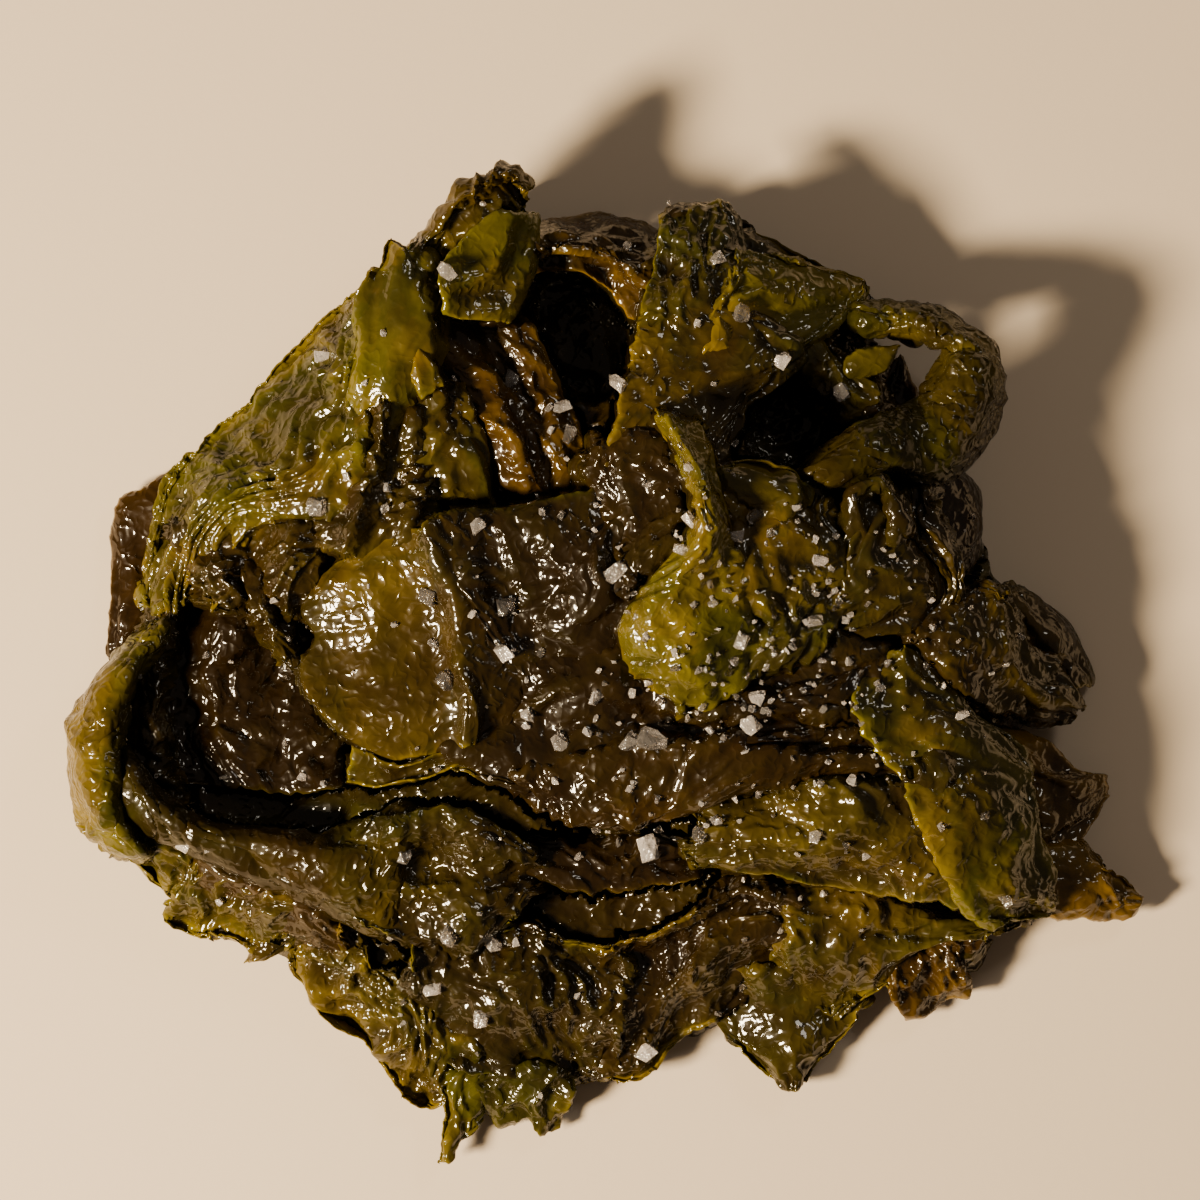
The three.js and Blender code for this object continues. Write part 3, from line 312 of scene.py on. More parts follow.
        (-73, 61, 2, -62, 50, 26), (-62, 71, 2, -54, 60, 27), (-52, 79, 3, -46, 69, 28),
        (-43, 86, 3, -39, 77, 29))),
    Sheet("side_under_crest", "ruffle", swell=2.2, tone=0.3, amber=0.3, free="L",
          across=((0, 0), (0.4, 3), (1, 0)), rungs=(
        (-46, 85, 3, -40, 80, 30), (-38, 94, 2, -34, 87, 32), (-29, 101, 2, -27, 93, 33),
        (-20, 101, 3, -21, 95, 31), (-14, 96, 4, -15, 92, 28))),
    Sheet("side_back", "blister", swell=2, tone=0.25, free="L",
          across=((0, 0), (0.4, 2.5), (1, 0)), rungs=(
        (6, 95, 2, 8, 88, 27), (13, 98, 2, 14, 91, 26), (21, 99, 2, 21, 92, 26),
        (29, 93, 2, 28, 86, 26), (37, 90, 2, 35, 82, 25))),
    Sheet("side_back_right", "ruffle", swell=2.4, tone=0.3, amber=0.2, free="L",
          across=((0, 0), (0.4, 3), (1, 0)), rungs=(
        (48, 82, 2, 44, 74, 19), (56, 76, 2, 50, 68, 20), (61, 69, 2, 55, 62, 21),
        (65, 61, 2, 59, 56, 23), (71, 54, 2, 63, 50, 25), (77, 47, 3, 67, 44, 26))),
    # small folds in the gaps
    Sheet("fold_by_ridge", "blister", swell=1.6, tone=0.05, across=((0, 0), (0.4, 2), (1, 0)), rungs=(
        (-3, 48, 38, 12, 50, 41), (-2, 38, 38, 16, 40, 43), (2, 28, 39, 15, 29, 45),
        (4, 18, 40, 10, 20, 44))),
    Sheet("fold_under_lumps", "blister", swell=1.6, tone=0.2,
          across=((0, 0), (0.5, -1.5), (1, 0)), rungs=(
        (22, 7, 41, 25, -9, 38), (36, 7, 40, 38, -9, 38), (50, 7, 37, 50, -9, 37),
        (61, 5, 33, 59, -8, 34))),
    Sheet("side_front_left", "blister", swell=2, tone=0.35, amber=0.3, free="L",
          across=((0, 0), (0.4, 3), (1, 0)), rungs=(
        (-93, -51, 1.5, -86, -43, 19), (-85, -55, 1.5, -79, -46, 20), (-77, -58, 1.5, -72, -49, 21),
        (-68, -63, 1.5, -64, -53, 21), (-62, -66, 1.5, -57, -57, 20))),
    Sheet("side_left", "ruffle", swell=2.2, tone=0.3, free="L",
          across=((0, 0), (0.4, 3), (1, 0)), rungs=(
        (-103, 14, 2, -94, 14, 15), (-107, 2, 2, -97, 2, 17), (-110, -10, 2, -98, -11, 18),
        (-110, -24, 2, -97, -24, 18), (-106, -34, 2, -93, -34, 18))),
)

# The larger salt crystals: place and size.
LARGE_SALT = (
    (-39, 15, 5), (-22, 13.5, 4.5), (-22, 4, 4.5), (-35, -3, 5), (-2, -6, 4), (5, -16, 4.5),
    (10, -16, 7), (-10, -16, 4.5), (-17, -10, 3.5), (9, -39, 5.5), (20, -36, 4), (18, 32, 4),
    (16, 26, 3.5), (2, 21, 5), (27.5, 28.5, 4), (32, 33, 4), (29, 6, 4), (45, 10.5, 3.5),
    (32, -6, 4), (31, -12, 4.5), (-63, 35, 4.5), (-44, -40.5, 5), (-34, -58, 4.5),
    (-25, -60, 4.5), (-38, -70, 4), (-27.5, -76.5, 4), (8, -84, 5.5), (-60, -1.5, 4),
    (-34.5, 86, 4.5), (-20.5, 63, 4), (-10, 57, 4.5), (-8, 51, 4.5), (2, 62, 5), (24, 89, 3.5),
    (29, 77, 4.5), (38, 67, 3.5), (51, 60, 4), (77, -10, 3.5), (87, -50, 3.5), (45, -36, 3.5),
    (53, -24, 3.5), (-28, 31, 3.5), (-62, 68, 4), (-92, -38, 4), (-39, -27, 4), (46, 23.5, 3.5),
)
# fmt: on


# ---- smooth random fields ----

LATTICE = 64  # corners of the random field each way before it repeats


@lru_cache(maxsize=None)
def lattice(seed):
    """The random slopes at the corners of a field, as their two parts."""
    angles = np.random.default_rng(seed).uniform(0, TURN, (LATTICE, LATTICE))
    return np.cos(angles), np.sin(angles)


def smooth_noise(x, y, seed):
    """A smooth field between about -1 and 1 whose features are one unit wide.

    Every corner of a unit grid has a random slope, and the four slopes round a place are blended.
    """
    slope_x, slope_y = lattice(seed)
    cell_x, cell_y = np.floor(x).astype(int), np.floor(y).astype(int)
    fx, fy = x - cell_x, y - cell_y

    def corner(i, j):
        a, b = (cell_x + i) % LATTICE, (cell_y + j) % LATTICE
        return slope_x[a, b] * (fx - i) + slope_y[a, b] * (fy - j)

    ease_x, ease_y = (f * f * f * (f * (f * 6 - 15) + 10) for f in (fx, fy))
    near = corner(0, 0) * (1 - ease_x) + corner(1, 0) * ease_x
    far = corner(0, 1) * (1 - ease_x) + corner(1, 1) * ease_x
    return 1.5 * (near * (1 - ease_y) + far * ease_y)


def pillows(x, y, seed):
    """Round blisters with narrow valleys between them."""
    return 1.6 * np.abs(smooth_noise(x, y, seed)) ** 0.75 - 0.6


def creases(x, y, seed):
    """Sharp wandering ridges with round valleys between them."""
    return 0.5 - 1.6 * np.abs(smooth_noise(x, y, seed)) ** 0.8


def ribs(x, y, seed):
    """Wavy ribs along x, one unit apart, that come and go."""
    drift = 0.55 * smooth_noise(1.2 * x, 0.6 * y, seed)
    strength = np.clip(0.55 + 1.4 * smooth_noise(1.7 * x, 0.9 * y, seed + 1), 0, 1.5)
    return strength * np.sin(TURN * (y + drift))


# Relief of each kind of sheet: field, width of a feature, how much longer it is than wide, height.
RELIEFS = {
    "smooth": ((smooth_noise, 17, 1.6, 1.2), (creases, 12, 2.5, 1.0), (pillows, 5, 1.4, 0.3)),
    "blister": ((creases, 16, 1.8, 1.6), (pillows, 8.5, 1.3, 1.0), (creases, 4.2, 1.5, 0.7)),
    "ribbed": ((smooth_noise, 15, 2.0, 1.0), (ribs, 5.2, 2.2, 1.0), (creases, 4.2, 1.8, 0.8)),
    "ruffle": ((creases, 9, 0.7, 1.5), (creases, 4.5, 0.8, 0.7), (pillows, 3.0, 1.0, 0.4)),
    "packed": ((creases, 16, 2.2, 3.0), (creases, 7, 1.5, 1.3), (pillows, 3.4, 1.2, 0.5)),
}
STRAY, STRAY_LENGTH = 6, 17  # how far wrinkles stray from their lines, and over what length
PATCH_LENGTH = 26  # distance from a calm patch to a crumpled one
CALM, CRUMPLED = 0.25, 1.7  # least and greatest strength of the wrinkles there

TEARS = {"smooth": 0.9, "blister": 1.1, "ribbed": 1.0, "ruffle": 1.2}  # unevenness of torn edges
TEAR_WIDE, TEAR_FINE, TEAR_NICK = 19, 6, 2.6  # lengths of the bays, the bites and the nicks in them
# How far free edges wave up and down, and how long a wave is.
RUFFLES = {"smooth": (1.3, 15), "blister": (1.6, 12), "ribbed": (1.2, 12), "ruffle": (3.4, 8)}
# How strongly each kind of sheet is crinkled in its material.
CRUMPLE = {"smooth": 0.8, "blister": 0.9, "ribbed": 1.0, "ruffle": 1.0}


def relief(style, x, y, seed):
    """Height of a sheet's wrinkles over its smooth form at places measured along and across it.

    The places drift, so that no wrinkle runs straight, and calm patches come between crumpled ones.
    """
    drift_x, drift_y = (smooth_noise(x / STRAY_LENGTH, y / STRAY_LENGTH, seed + k) for k in (71, 72))
    total = np.zeros_like(x)
    for k, (field, width, length, height) in enumerate(RELIEFS[style]):
        along = (x + STRAY * drift_x) / (width * length)
        across = (y + STRAY * drift_y) / width
        patches = smooth_noise(x / PATCH_LENGTH, y / PATCH_LENGTH, seed + 80 + k)
        strength = np.clip(0.95 + 0.9 * patches, CALM, CRUMPLED)
        total += height * strength * field(along, across, seed + 10 * k)
    return total


# ---- the form of a sheet ----

SWELL_LENGTHS = (29, 21)
SWELL_SHARES = (0.6, 0.4)
COARSE = (40, 30)  # points of a sheet's smooth form along and across it, for its size
MAPPED = (220, 160)  # and for its height map
CORNER_SHARE = 0.03  # how far a sheet's corners are rounded off, against its lesser size
FLOOR_GAP = 0.8  # least height of an upper face over the floor
HEAP_TOP = 55.5  # greatest height of an upper face
EASE = 1.5  # how sharply heights are held between the two
EDGE_DROP = 0.5  # how far a free edge is rounded off
PROBES = (5, 9)  # how far past an edge the heap is looked for
NEIGHBOUR_FROM, NEIGHBOUR_RANGE = 4, 5  # from what height on it counts, and until it counts in full
BURIED = 60  # how far an edge with a neighbour counts as lying away
FOLD_LENGTH = 13  # how much of a sheet turns down past an edge that isn't free
FOLD_STRETCH = 1.25  # spacing of points on the fold, against that of the sheet
FOLD_STEEPNESS = 1.3  # the angle at which it then runs down, in radians
BEND_RADII = (1.0, 6.5)  # least and greatest radius of the bend between them
BEND_LENGTH = 13  # distance from a narrow bend to a wide one
RUFFLE_REACH = 6  # how far in from a free edge its ruffles die out
RELIEF_START = 1.5  # how far in from it the wrinkles begin
EDGE_ROUNDING = 0.6  # how far in from it the sheet is rounded off
SIDES = "SELR"  # start and end of the two long edges, left edge, right edge


class Form(NamedTuple):
    """A sheet's upper face as a grid of points, and what its colours need."""

    points: np.ndarray
    normals: np.ndarray
    edge: np.ndarray  # distance to the nearest free edge
    relief: np.ndarray


def through(rows, t):
    """A smooth curve through the rows of a list, row i at t = i, run out straight at both ends."""
    rows = np.asarray(rows, float)
    padded = np.vstack([2 * rows[0] - rows[1], rows, 2 * rows[-1] - rows[-2]])
    i = np.clip(np.floor(t).astype(int), 0, len(rows) - 2)
    f = (t - i)[..., None]
    p0, p1, p2, p3 = (padded[i + k] for k in range(4))
    linear = (p2 - p0) * f
    square = (2 * p0 - 5 * p1 + 4 * p2 - p3) * f**2
    cube = (3 * p1 - p0 - 3 * p2 + p3) * f**3
    return 0.5 * (2 * p1 + linear + square + cube)


def swell_at(x, y, number):
    """Unevenness between -1 and 1: two crossing wave trains, turned by the sheet's number."""
    turn = 0.9 * number
    along = x * np.cos(turn) + y * np.sin(turn)
    across = y * np.cos(turn) - x * np.sin(turn)
    longer, shorter = (TURN / length for length in SWELL_LENGTHS)
    first = SWELL_SHARES[0] * np.sin(along * longer + 1.7 * number)
    return first + SWELL_SHARES[1] * np.sin(across * shorter + 2.9 * number)


def sheet_points(sheet, number, t, s):
    """Points of a sheet's smooth upper face: t runs along its edges and s through its section.

    Each point lies between the two edges at its place in the section, lifted by the section's rise
    and by the swell at that place.
    """
    rungs, section = through(sheet.rungs, t), through(sheet.across, s)
    place, rise = section[..., :1], section[..., 1]
    points = rungs[..., :3] * (1 - place) + rungs[..., 3:] * place
    points[..., 2] += rise + sheet.swell * swell_at(points[..., 0], points[..., 1], number)
    return points


def plain_points(sheet, number, counts):
    """An even grid of points over a sheet's smooth form."""
    ends = (len(sheet.rungs) - 1, len(sheet.across) - 1)
    steps = (np.linspace(0, end, count) for end, count in zip(ends, counts))
    return sheet_points(sheet, number, *np.meshgrid(*steps, indexing="ij"))


def grid_normals(points):
    """Unit normals of a grid of points, turned so that most of them look up."""
    normals = np.cross(np.gradient(points, axis=1), np.gradient(points, axis=0))
    normals /= np.maximum(np.linalg.norm(normals, axis=-1, keepdims=True), 1e-9)
    return normals if normals[..., 2].mean() > 0 else -normals


def mean_length(points, axis):
    """The mean length of a grid of points along one axis."""
    steps = np.linalg.norm(np.diff(points, axis=axis), axis=-1)
    return np.cumsum(steps, axis=axis).take(-1, axis=axis).mean()


def probe_neighbours(place, outward, others):
    """How surely the heap goes on past each place of a border, from 0 (free) to 1."""
    heights = [sample(others, *(place + reach * outward)[:, :2].T) for reach in PROBES]
    beyond = np.clip((np.min(heights, axis=0) - NEIGHBOUR_FROM) / NEIGHBOUR_RANGE, 0, 1)
    window = max(3, len(beyond) // 6)
    padded = np.pad(beyond, window, mode="edge")
    return np.convolve(padded, np.ones(2 * window + 1) / (2 * window + 1), mode="valid")


def level_direction(vectors):
    """Vectors laid level and made one unit long."""
    level = vectors * (1, 1, 0)
    return level / np.maximum(np.linalg.norm(level, axis=-1, keepdims=True), 1e-6)


def turn_down(points, length, width, spacing, tucks, seed):
    """A grid of points with a strip added on each side that has a neighbour, folded downwards.

    The strip leaves its edge level, rounds a bend of uneven radius and runs steeply down. Returns
    the points, and the distances along and across at which they lie.
    """
    rows, columns = points.shape[:2]
    steps = int(FOLD_LENGTH / (FOLD_STRETCH * spacing))
    pads = [steps if tuck.max() > 0.05 else 0 for tuck in tucks]
    reach = np.arange(1, steps + 1) * FOLD_STRETCH * spacing
    before_t, after_t, before_s, after_s = (reach[:pad] for pad in pads)
    along = np.concatenate([-before_t[::-1], np.linspace(0, length, rows), length + after_t])
    across = np.concatenate([-before_s[::-1], np.linspace(0, width, columns), width + after_s])
    past_t = (along - np.clip(along, 0, length))[:, None]
    past_s = (across - np.clip(across, 0, width))[None, :]
    pads_t, pads_s = pads[:2], pads[2:]

    def padded(grid):
        return np.pad(grid, (pads_t, pads_s, (0, 0)), mode="edge")

    base = padded(points)
    out_t = padded(level_direction(np.gradient(points, axis=0))) * np.sign(past_t)[..., None]
    out_s = padded(level_direction(np.gradient(points, axis=1))) * np.sign(past_s)[..., None]
    start, end, left, right = tucks
    tuck_t = np.pad(np.where(past_t < 0, start, end), ((0, 0), pads_s), mode="edge")
    tuck_s = np.pad(np.where(past_s.T < 0, left, right).T, (pads_t, (0, 0)), mode="edge")
    past_t, past_s = np.broadcast_arrays(np.abs(past_t), np.abs(past_s))
    share = np.where(past_t > 0, tuck_t, tuck_s)
    share = np.where((past_t > 0) & (past_s > 0), np.minimum(tuck_t, tuck_s), share)
    outward = level_direction(out_t * past_t[..., None] + out_s * past_s[..., None])
    run = np.hypot(past_t, past_s) * (0.05 + 0.95 * share)
    place = base[..., :2] / BEND_LENGTH
    radius = np.clip(3.2 + 3.5 * smooth_noise(place[..., 0], place[..., 1], seed + 9), *BEND_RADII)
    turned = np.minimum(run / radius, FOLD_STEEPNESS)
    straight = np.maximum(run - radius * FOLD_STEEPNESS, 0)
    forward = radius * np.sin(turned) + straight * np.cos(FOLD_STEEPNESS)
    base = base + outward * forward[..., None]
    base[..., 2] -= radius * (1 - np.cos(turned)) + straight * np.sin(FOLD_STEEPNESS)
    return base, *np.meshgrid(along, across, indexing="ij")


def rest_on_floor(z):
    """Heights eased so that none is below FLOOR_GAP or above HEAP_TOP."""
    z = FLOOR_GAP + np.logaddexp(0, EASE * (z - FLOOR_GAP)) / EASE
    return HEAP_TOP - np.logaddexp(0, EASE * (HEAP_TOP - z)) / EASE


def sheet_form(sheet, number, spacing, depth, ragged, others):
    """The wrinkled upper face of a sheet, its points about spacing apart.

    The smooth form is sampled on an even grid whose border is drawn in unevenly, as torn edges are.
    Edges with neighbours fold down between them. Each point then moves along its normal by the
    relief of its kind and by the ruffles of the free edges.
    """
    seed = 100 * number
    coarse = plain_points(sheet, number, COARSE)
    length, width = mean_length(coarse, 0), mean_length(coarse, 1)
    rows, columns = (int(size / spacing) + 2 for size in (length, width))
    t, s = np.meshgrid(np.linspace(0, 1, rows), np.linspace(0, 1, columns), indexing="ij")

    def tear(place, side):
        """How far an edge is drawn in at a place along it, from 0 to 3 times the kind's own."""
        line = np.full_like(place, side)
        wide = smooth_noise(place / TEAR_WIDE, line, seed + 5)
        fine = np.abs(smooth_noise(place / TEAR_FINE, line, seed + 6))
        nicks = np.abs(smooth_noise(place / TEAR_NICK, line, seed + 8))
        return ragged * TEARS[sheet.style] * np.clip(0.5 + 1.4 * wide + 1.3 * fine + 0.7 * nicks, 0, 3)

    corner = CORNER_SHARE * min(length, width)
    round_t, round_s = corner * np.abs(2 * s - 1) ** 4, 0.5 * corner * np.abs(2 * t - 1) ** 6
    start, end = ((round_t + tear(s * width, side)) / length for side in (0.3, 7.3))
    near, far = ((round_s + tear(t * length, side)) / width for side in (13.3, 19.3))
    t = start + t * (1 - start - end)
    s = near + s * (1 - near - far)
    points = sheet_points(sheet, number, t * (len(sheet.rungs) - 1), s * (len(sheet.across) - 1))

    tucks = []
    turned = points.swapaxes(0, 1)
    for side, (place, inside) in zip(SIDES, (points[:2], points[:-3:-1], turned[:2], turned[:-3:-1])):
        outward = level_direction(place - inside)
        free = side in sheet.free
        tucks.append(np.zeros(len(place)) if free else probe_neighbours(place, outward, others))
    points, along, across = turn_down(points, length, width, spacing, tucks, seed)

    row = np.clip(along[:, 0] / length * (rows - 1), 0, rows - 1).astype(int)
    column = np.clip(across[0] / width * (columns - 1), 0, columns - 1).astype(int)
    places = (column, column, row, row)
    start, end, left, right = (BURIED * tuck[place] for tuck, place in zip(tucks, places))
    to_start, to_end = np.maximum(along, 0) + start, np.maximum(length - along, 0) + end
    to_left = np.maximum(across, 0) + left[:, None]
    to_right = np.maximum(width - across, 0) + right[:, None]
    edge = np.minimum.reduce([to_start, to_end, to_left, to_right])

    heights = depth * relief(sheet.style, along, across, seed)
    swing, wave = RUFFLES[sheet.style]
    ruffle = 1.3 * swing * smooth_noise(along / wave, across / wave, seed + 7)
    ruffle = ruffle * np.exp(-edge / RUFFLE_REACH)
    lift = heights * (1 - np.exp(-edge / RELIEF_START)) + ruffle
    lift = lift - EDGE_DROP * np.exp(-edge / EDGE_ROUNDING)
    points = points + grid_normals(points) * lift[..., None]
    points[..., 2] = rest_on_floor(points[..., 2])
    return Form(points, grid_normals(points), edge, heights)


# ---- the heap seen from above, as maps of heights with a cell each millimetre ----

MAP_REACH = 130


def map_index(values):
    """The row or column of a map that holds each place."""
    return np.clip(np.rint(values + MAP_REACH).astype(int), 0, 2 * MAP_REACH)


def height_map(points):
    """The greatest height of the points over each cell of a map, and -1 beside them."""
    heights = np.full((2 * MAP_REACH + 1, 2 * MAP_REACH + 1), -1.0)
    x, y, z = points.reshape(-1, 3).T
    np.maximum.at(heights, (map_index(x), map_index(y)), z)
    return heights


def sample(heights, x, y):
    """A map's height at places between its cells, blended from the four cells round each."""
    column, row = (np.clip(v + MAP_REACH, 0, 2 * MAP_REACH - 1.001) for v in (x, y))
    i, j = column.astype(int), row.astype(int)
    fi, fj = column - i, row - j
    near = heights[i, j] * (1 - fi) + heights[i + 1, j] * fi
    far = heights[i, j + 1] * (1 - fi) + heights[i + 1, j + 1] * fi
    return near * (1 - fj) + far * fj


def spread(heights, radius, pick):
    """Each cell's greatest or least height within a radius, as pick says."""
    result = heights.copy()
    for i in range(-radius, radius + 1):
        for j in range(-radius, radius + 1):
            if 0 < i * i + j * j <= radius * radius:
                result = pick(result, np.roll(heights, (i, j), (0, 1)))
    return result


def blur(heights, radius):
    """Heights averaged over a square of cells."""
    for axis in (0, 1):
        shifts = [np.roll(heights, k, axis) for k in range(-radius, radius + 1)]
        heights = np.mean(shifts, axis=0)
    return heights


@lru_cache(maxsize=2)
def sheet_forms(spacing, depth, ragged):
    """The forms of all sheets, made once for the operators that need them."""
    plain = np.stack([height_map(plain_points(sheet, k, MAPPED)) for k, sheet in enumerate(SHEETS, 1)])
    forms = []
    for k, sheet in enumerate(SHEETS):
        others = np.delete(plain, k, axis=0).max(axis=0)
        forms.append(sheet_form(sheet, k + 1, spacing, depth, ragged, others))
    return tuple(forms)


@lru_cache(maxsize=2)
def sheet_maps(spacing, depth, ragged):
    """The height map of every sheet."""
    return np.stack([height_map(form.points) for form in sheet_forms(spacing, depth, ragged)])


# ---- meshes ----


def grid_faces(rows, columns, first=0, flip=False):
    """The four corners of each face of a grid of vertices."""
    start = first + (np.arange(rows - 1)[:, None] * columns + np.arange(columns - 1)).ravel()
    faces = np.stack([start, start + 1, start + columns + 1, start + columns], axis=1)
    return faces[:, ::-1] if flip else faces


def border(rows, columns):
    """The vertices round the border of a grid, once round."""
    index = np.arange(rows * columns).reshape(rows, columns)
    return np.concatenate([index[0], index[1:, -1], index[-1, -2::-1], index[-2:0:-1, 0]])


def new_mesh(name, vertices, blocks, attributes, smooth=True):
    """A mesh object at the origin, with its float attributes.

    Vertices are in millimetres, and faces come in blocks of faces with equally many corners.
    """
    mesh = bpy.data.meshes.new(name)
    faces = [face for block in blocks for face in block.tolist()]
    mesh.from_pydata((vertices * MM).tolist(), [], faces)
    for key, values in attributes.items():
        layer = mesh.attributes.new(key, "FLOAT", "POINT")
        layer.data.foreach_set("value", values.ravel().astype(np.float32))
    mesh.polygons.foreach_set("use_smooth", np.full(len(mesh.polygons), smooth))
    mesh.update()
    piece = bpy.data.objects.new(name, mesh)
    bpy.context.scene.collection.objects.link(piece)
    return piece


def join_heap(piece, material):
    """Gives a piece its material, and the place of the heap's node."""
    piece.data.materials.append(material)
    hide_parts(NODE)
    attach(piece, BODY)


def shell(points, normals, thickness):
    """A closed thin shell below a grid of points: its vertices, and its faces in blocks."""
    rows, columns = points.shape[:2]
    count = rows * columns
    lower = points - normals * thickness[..., None]
    lower[..., 2] = np.maximum(lower[..., 2], SHELL_GAP)
    vertices = np.concatenate([points.reshape(-1, 3), lower.reshape(-1, 3)])
    ring = border(rows, columns)
    following = np.roll(ring, -1)
    upward = np.cross(points[1, 0] - points[0, 0], points[0, 1] - points[0, 0]) @ normals[0, 0] > 0
    side = np.stack([ring, following, following + count, ring + count], axis=1)
    upper = grid_faces(rows, columns, flip=upward)
    under = grid_faces(rows, columns, count, flip=not upward)
    return vertices, (upper, under, side if upward else side[:, ::-1])


# ---- materials ----

# Kombu's colours from where it lies thick and shaded towards where light comes through it.
GREEN_STOPS = (
    (0.0, (0.0078, 0.0043, 0.0008)),
    (0.3, (0.0116, 0.0083, 0.0009)),
    (0.6, (0.0190, 0.0176, 0.0009)),
)
AMBER_STOPS = ((0.0, (0.0070, 0.0032, 0.0006)), (0.4, (0.0215, 0.0100, 0.0008)))
WATER_FILM = {"Coat IOR": 1.36, "Coat Roughness": 0.03}
KOMBU_IOR, SALT_IOR = 1.33, 1.54


def new_material(name):
    """An empty node material, and its tree."""
    material = bpy.data.materials.new(name)
    material.use_nodes = True
    material.node_tree.nodes.clear()
    return material, material.node_tree


def add_node(tree, kind, inputs, **settings):
    """A new node. Each of its inputs is a number, a colour or another node's output."""
    node = tree.nodes.new(f"ShaderNode{kind}")
    for key, value in settings.items():
        setattr(node, key, value)
    for key, value in inputs.items():
        if isinstance(value, bpy.types.NodeSocket):
            tree.links.new(value, node.inputs[key])
        else:
            node.inputs[key].default_value = value
    return node


def finish_material(tree, inputs):
    """Adds the material's shader and its output."""
    shader = add_node(tree, "BsdfPrincipled", inputs)
    add_node(tree, "OutputMaterial", {"Surface": shader.outputs[0]})


def attribute(tree, name):
    """A piece's own attribute as a value."""
    return add_node(tree, "Attribute", {}, attribute_name=name).outputs["Fac"]


def noise(tree, scale, detail, distortion=0.0):
    """A noise texture on a piece's own coordinates, with features of about 1 / scale metres."""
    place = add_node(tree, "TexCoord", {}).outputs["Object"]
    inputs = {"Vector": place, "Scale": scale, "Detail": detail, "Distortion": distortion}
    return add_node(tree, "TexNoise", inputs, noise_type="FBM").outputs["Fac"]


def remap(tree, value, low, high):
    """A texture's middle range spread over low to high."""
    inputs = {"Value": value, "From Min": 0.3, "From Max": 0.7, "To Min": low, "To Max": high}
    return add_node(tree, "MapRange", inputs).outputs[0]


def combine(tree, operation, *values):
    """A sum, a product and so on of one or two values."""
    return add_node(tree, "Math", dict(enumerate(values)), operation=operation).outputs[0]


def ridges(tree, value):
    """Sharp crests where a texture passes its middle."""
    folded = combine(tree, "ABSOLUTE", combine(tree, "SUBTRACT", value, 0.5))
    return combine(tree, "SUBTRACT", 0.5, folded)


def colour_ramp(tree, value, stops):
    """The colour at a value between (place, colour) stops."""
    ramp = add_node(tree, "ValToRGB", {"Fac": value})
    elements = ramp.color_ramp.elements
    while len(elements) < len(stops):
        elements.new(0.5)
    for element, (place, colour) in zip(elements, stops):
        element.position = place
        element.color = (*colour, 1)
    return ramp.outputs[0]


def bumps(tree, *layers):
    """The normal after bumps on top of one another, each with its height, strength and distance."""
    inputs = {}
    for height, strength, distance in layers:
        inputs.update({"Height": height, "Strength": strength, "Distance": distance})
        inputs = {"Normal": add_node(tree, "Bump", inputs).outputs[0]}
    return inputs["Normal"]


def kombu_wet(context):
    """Wet kelp: dark with painted shade where it lies thick, yellow-green or amber with painted light coming
    through it where it is thin, and glossy.
    """
    if "kombu_wet" in bpy.data.materials:
        return bpy.data.materials["kombu_wet"]
    settings = context.scene.kombu_sheets
    material, tree = new_material("kombu_wet")
    mottle = noise(tree, 170, 5)
    patches = remap(tree, noise(tree, 38, 3, 0.6), -0.16, 0.16)
    light = combine(tree, "ADD", attribute(tree, "glow"), patches)
    light = combine(tree, "ADD", light, remap(tree, mottle, -0.09, 0.09))
    hues = remap(tree, noise(tree, 24, 3, 0.8), -0.21, 0.26)
    hue = combine(tree, "ADD", attribute(tree, "amber"), hues)
    green = colour_ramp(tree, light, (*GREEN_STOPS, (1.0, settings.lit_thin_green)))
    brown = colour_ramp(tree, light, (*AMBER_STOPS, (1.0, settings.lit_thin_amber)))
    colour = add_node(tree, "Mix", {"Factor": hue, "A": green, "B": brown}, data_type="RGBA")

    clusters = remap(tree, noise(tree, 42, 1, 0.5), 0.3, 1.15)
    crumpled = combine(tree, "MULTIPLY", attribute(tree, "crumple"), clusters)
    normal = bumps(
        tree,
        (ridges(tree, noise(tree, 200, 0, 0.5)), crumpled, 0.0013),
        (ridges(tree, noise(tree, 430, 0, 0.4)), crumpled, 0.0009),
        (noise(tree, 1100, 2), 1, 0.00002),
    )
    inputs = {"Base Color": colour.outputs["Result"], "Roughness": remap(tree, mottle, 0.20, 0.38)}
    inputs |= {"IOR": KOMBU_IOR, "Specular IOR Level": 0.12, "Normal": normal}
    inputs |= {"Coat Weight": attribute(tree, "wet"), "Coat Normal": normal, **WATER_FILM}
    finish_material(tree, inputs)
    return material


def salt_material(colour):
    """Salt, from frosted to nearly clear crystals as their attribute says."""
    material, tree = new_material("salt_frosted")
    frost = noise(tree, 750, 3)
    inputs = {"Base Color": (*colour, 1), "Roughness": remap(tree, frost, 0.03, 0.2), "IOR": SALT_IOR}
    inputs |= {"Transmission Weight": attribute(tree, "clear")}
    finish_material(tree, inputs | {"Normal": bumps(tree, (frost, 0.7, 0.0009))})
    return material


def floor_material(colour):
    """A plain pale matt floor."""
    material, tree = new_material("pale_floor")
    tooth = noise(tree, 400, 2)
    inputs = {"Base Color": (*colour, 1), "Roughness": remap(tree, tooth, 0.7, 0.9)}
    inputs |= {"Specular IOR Level": 0.2, "Normal": bumps(tree, (tooth, 0.1, 0.0002))}
    finish_material(tree, inputs)
    return material


# ---- pieces ----

SHELL_GAP = 0.1  # least height of a sheet's underside over the floor
COVER_GAP = 2  # how far below a sheet another has to lie to count as one under it
SHADE_START, SHADE_LENGTH = 0.4, 0.4  # where across a sheet its painted shade lies
RIM_HIGHLIGHT_WIDTH, THINNING = 0.7, 2.5  # width of the painted highlight along free edges, and of the thinner border
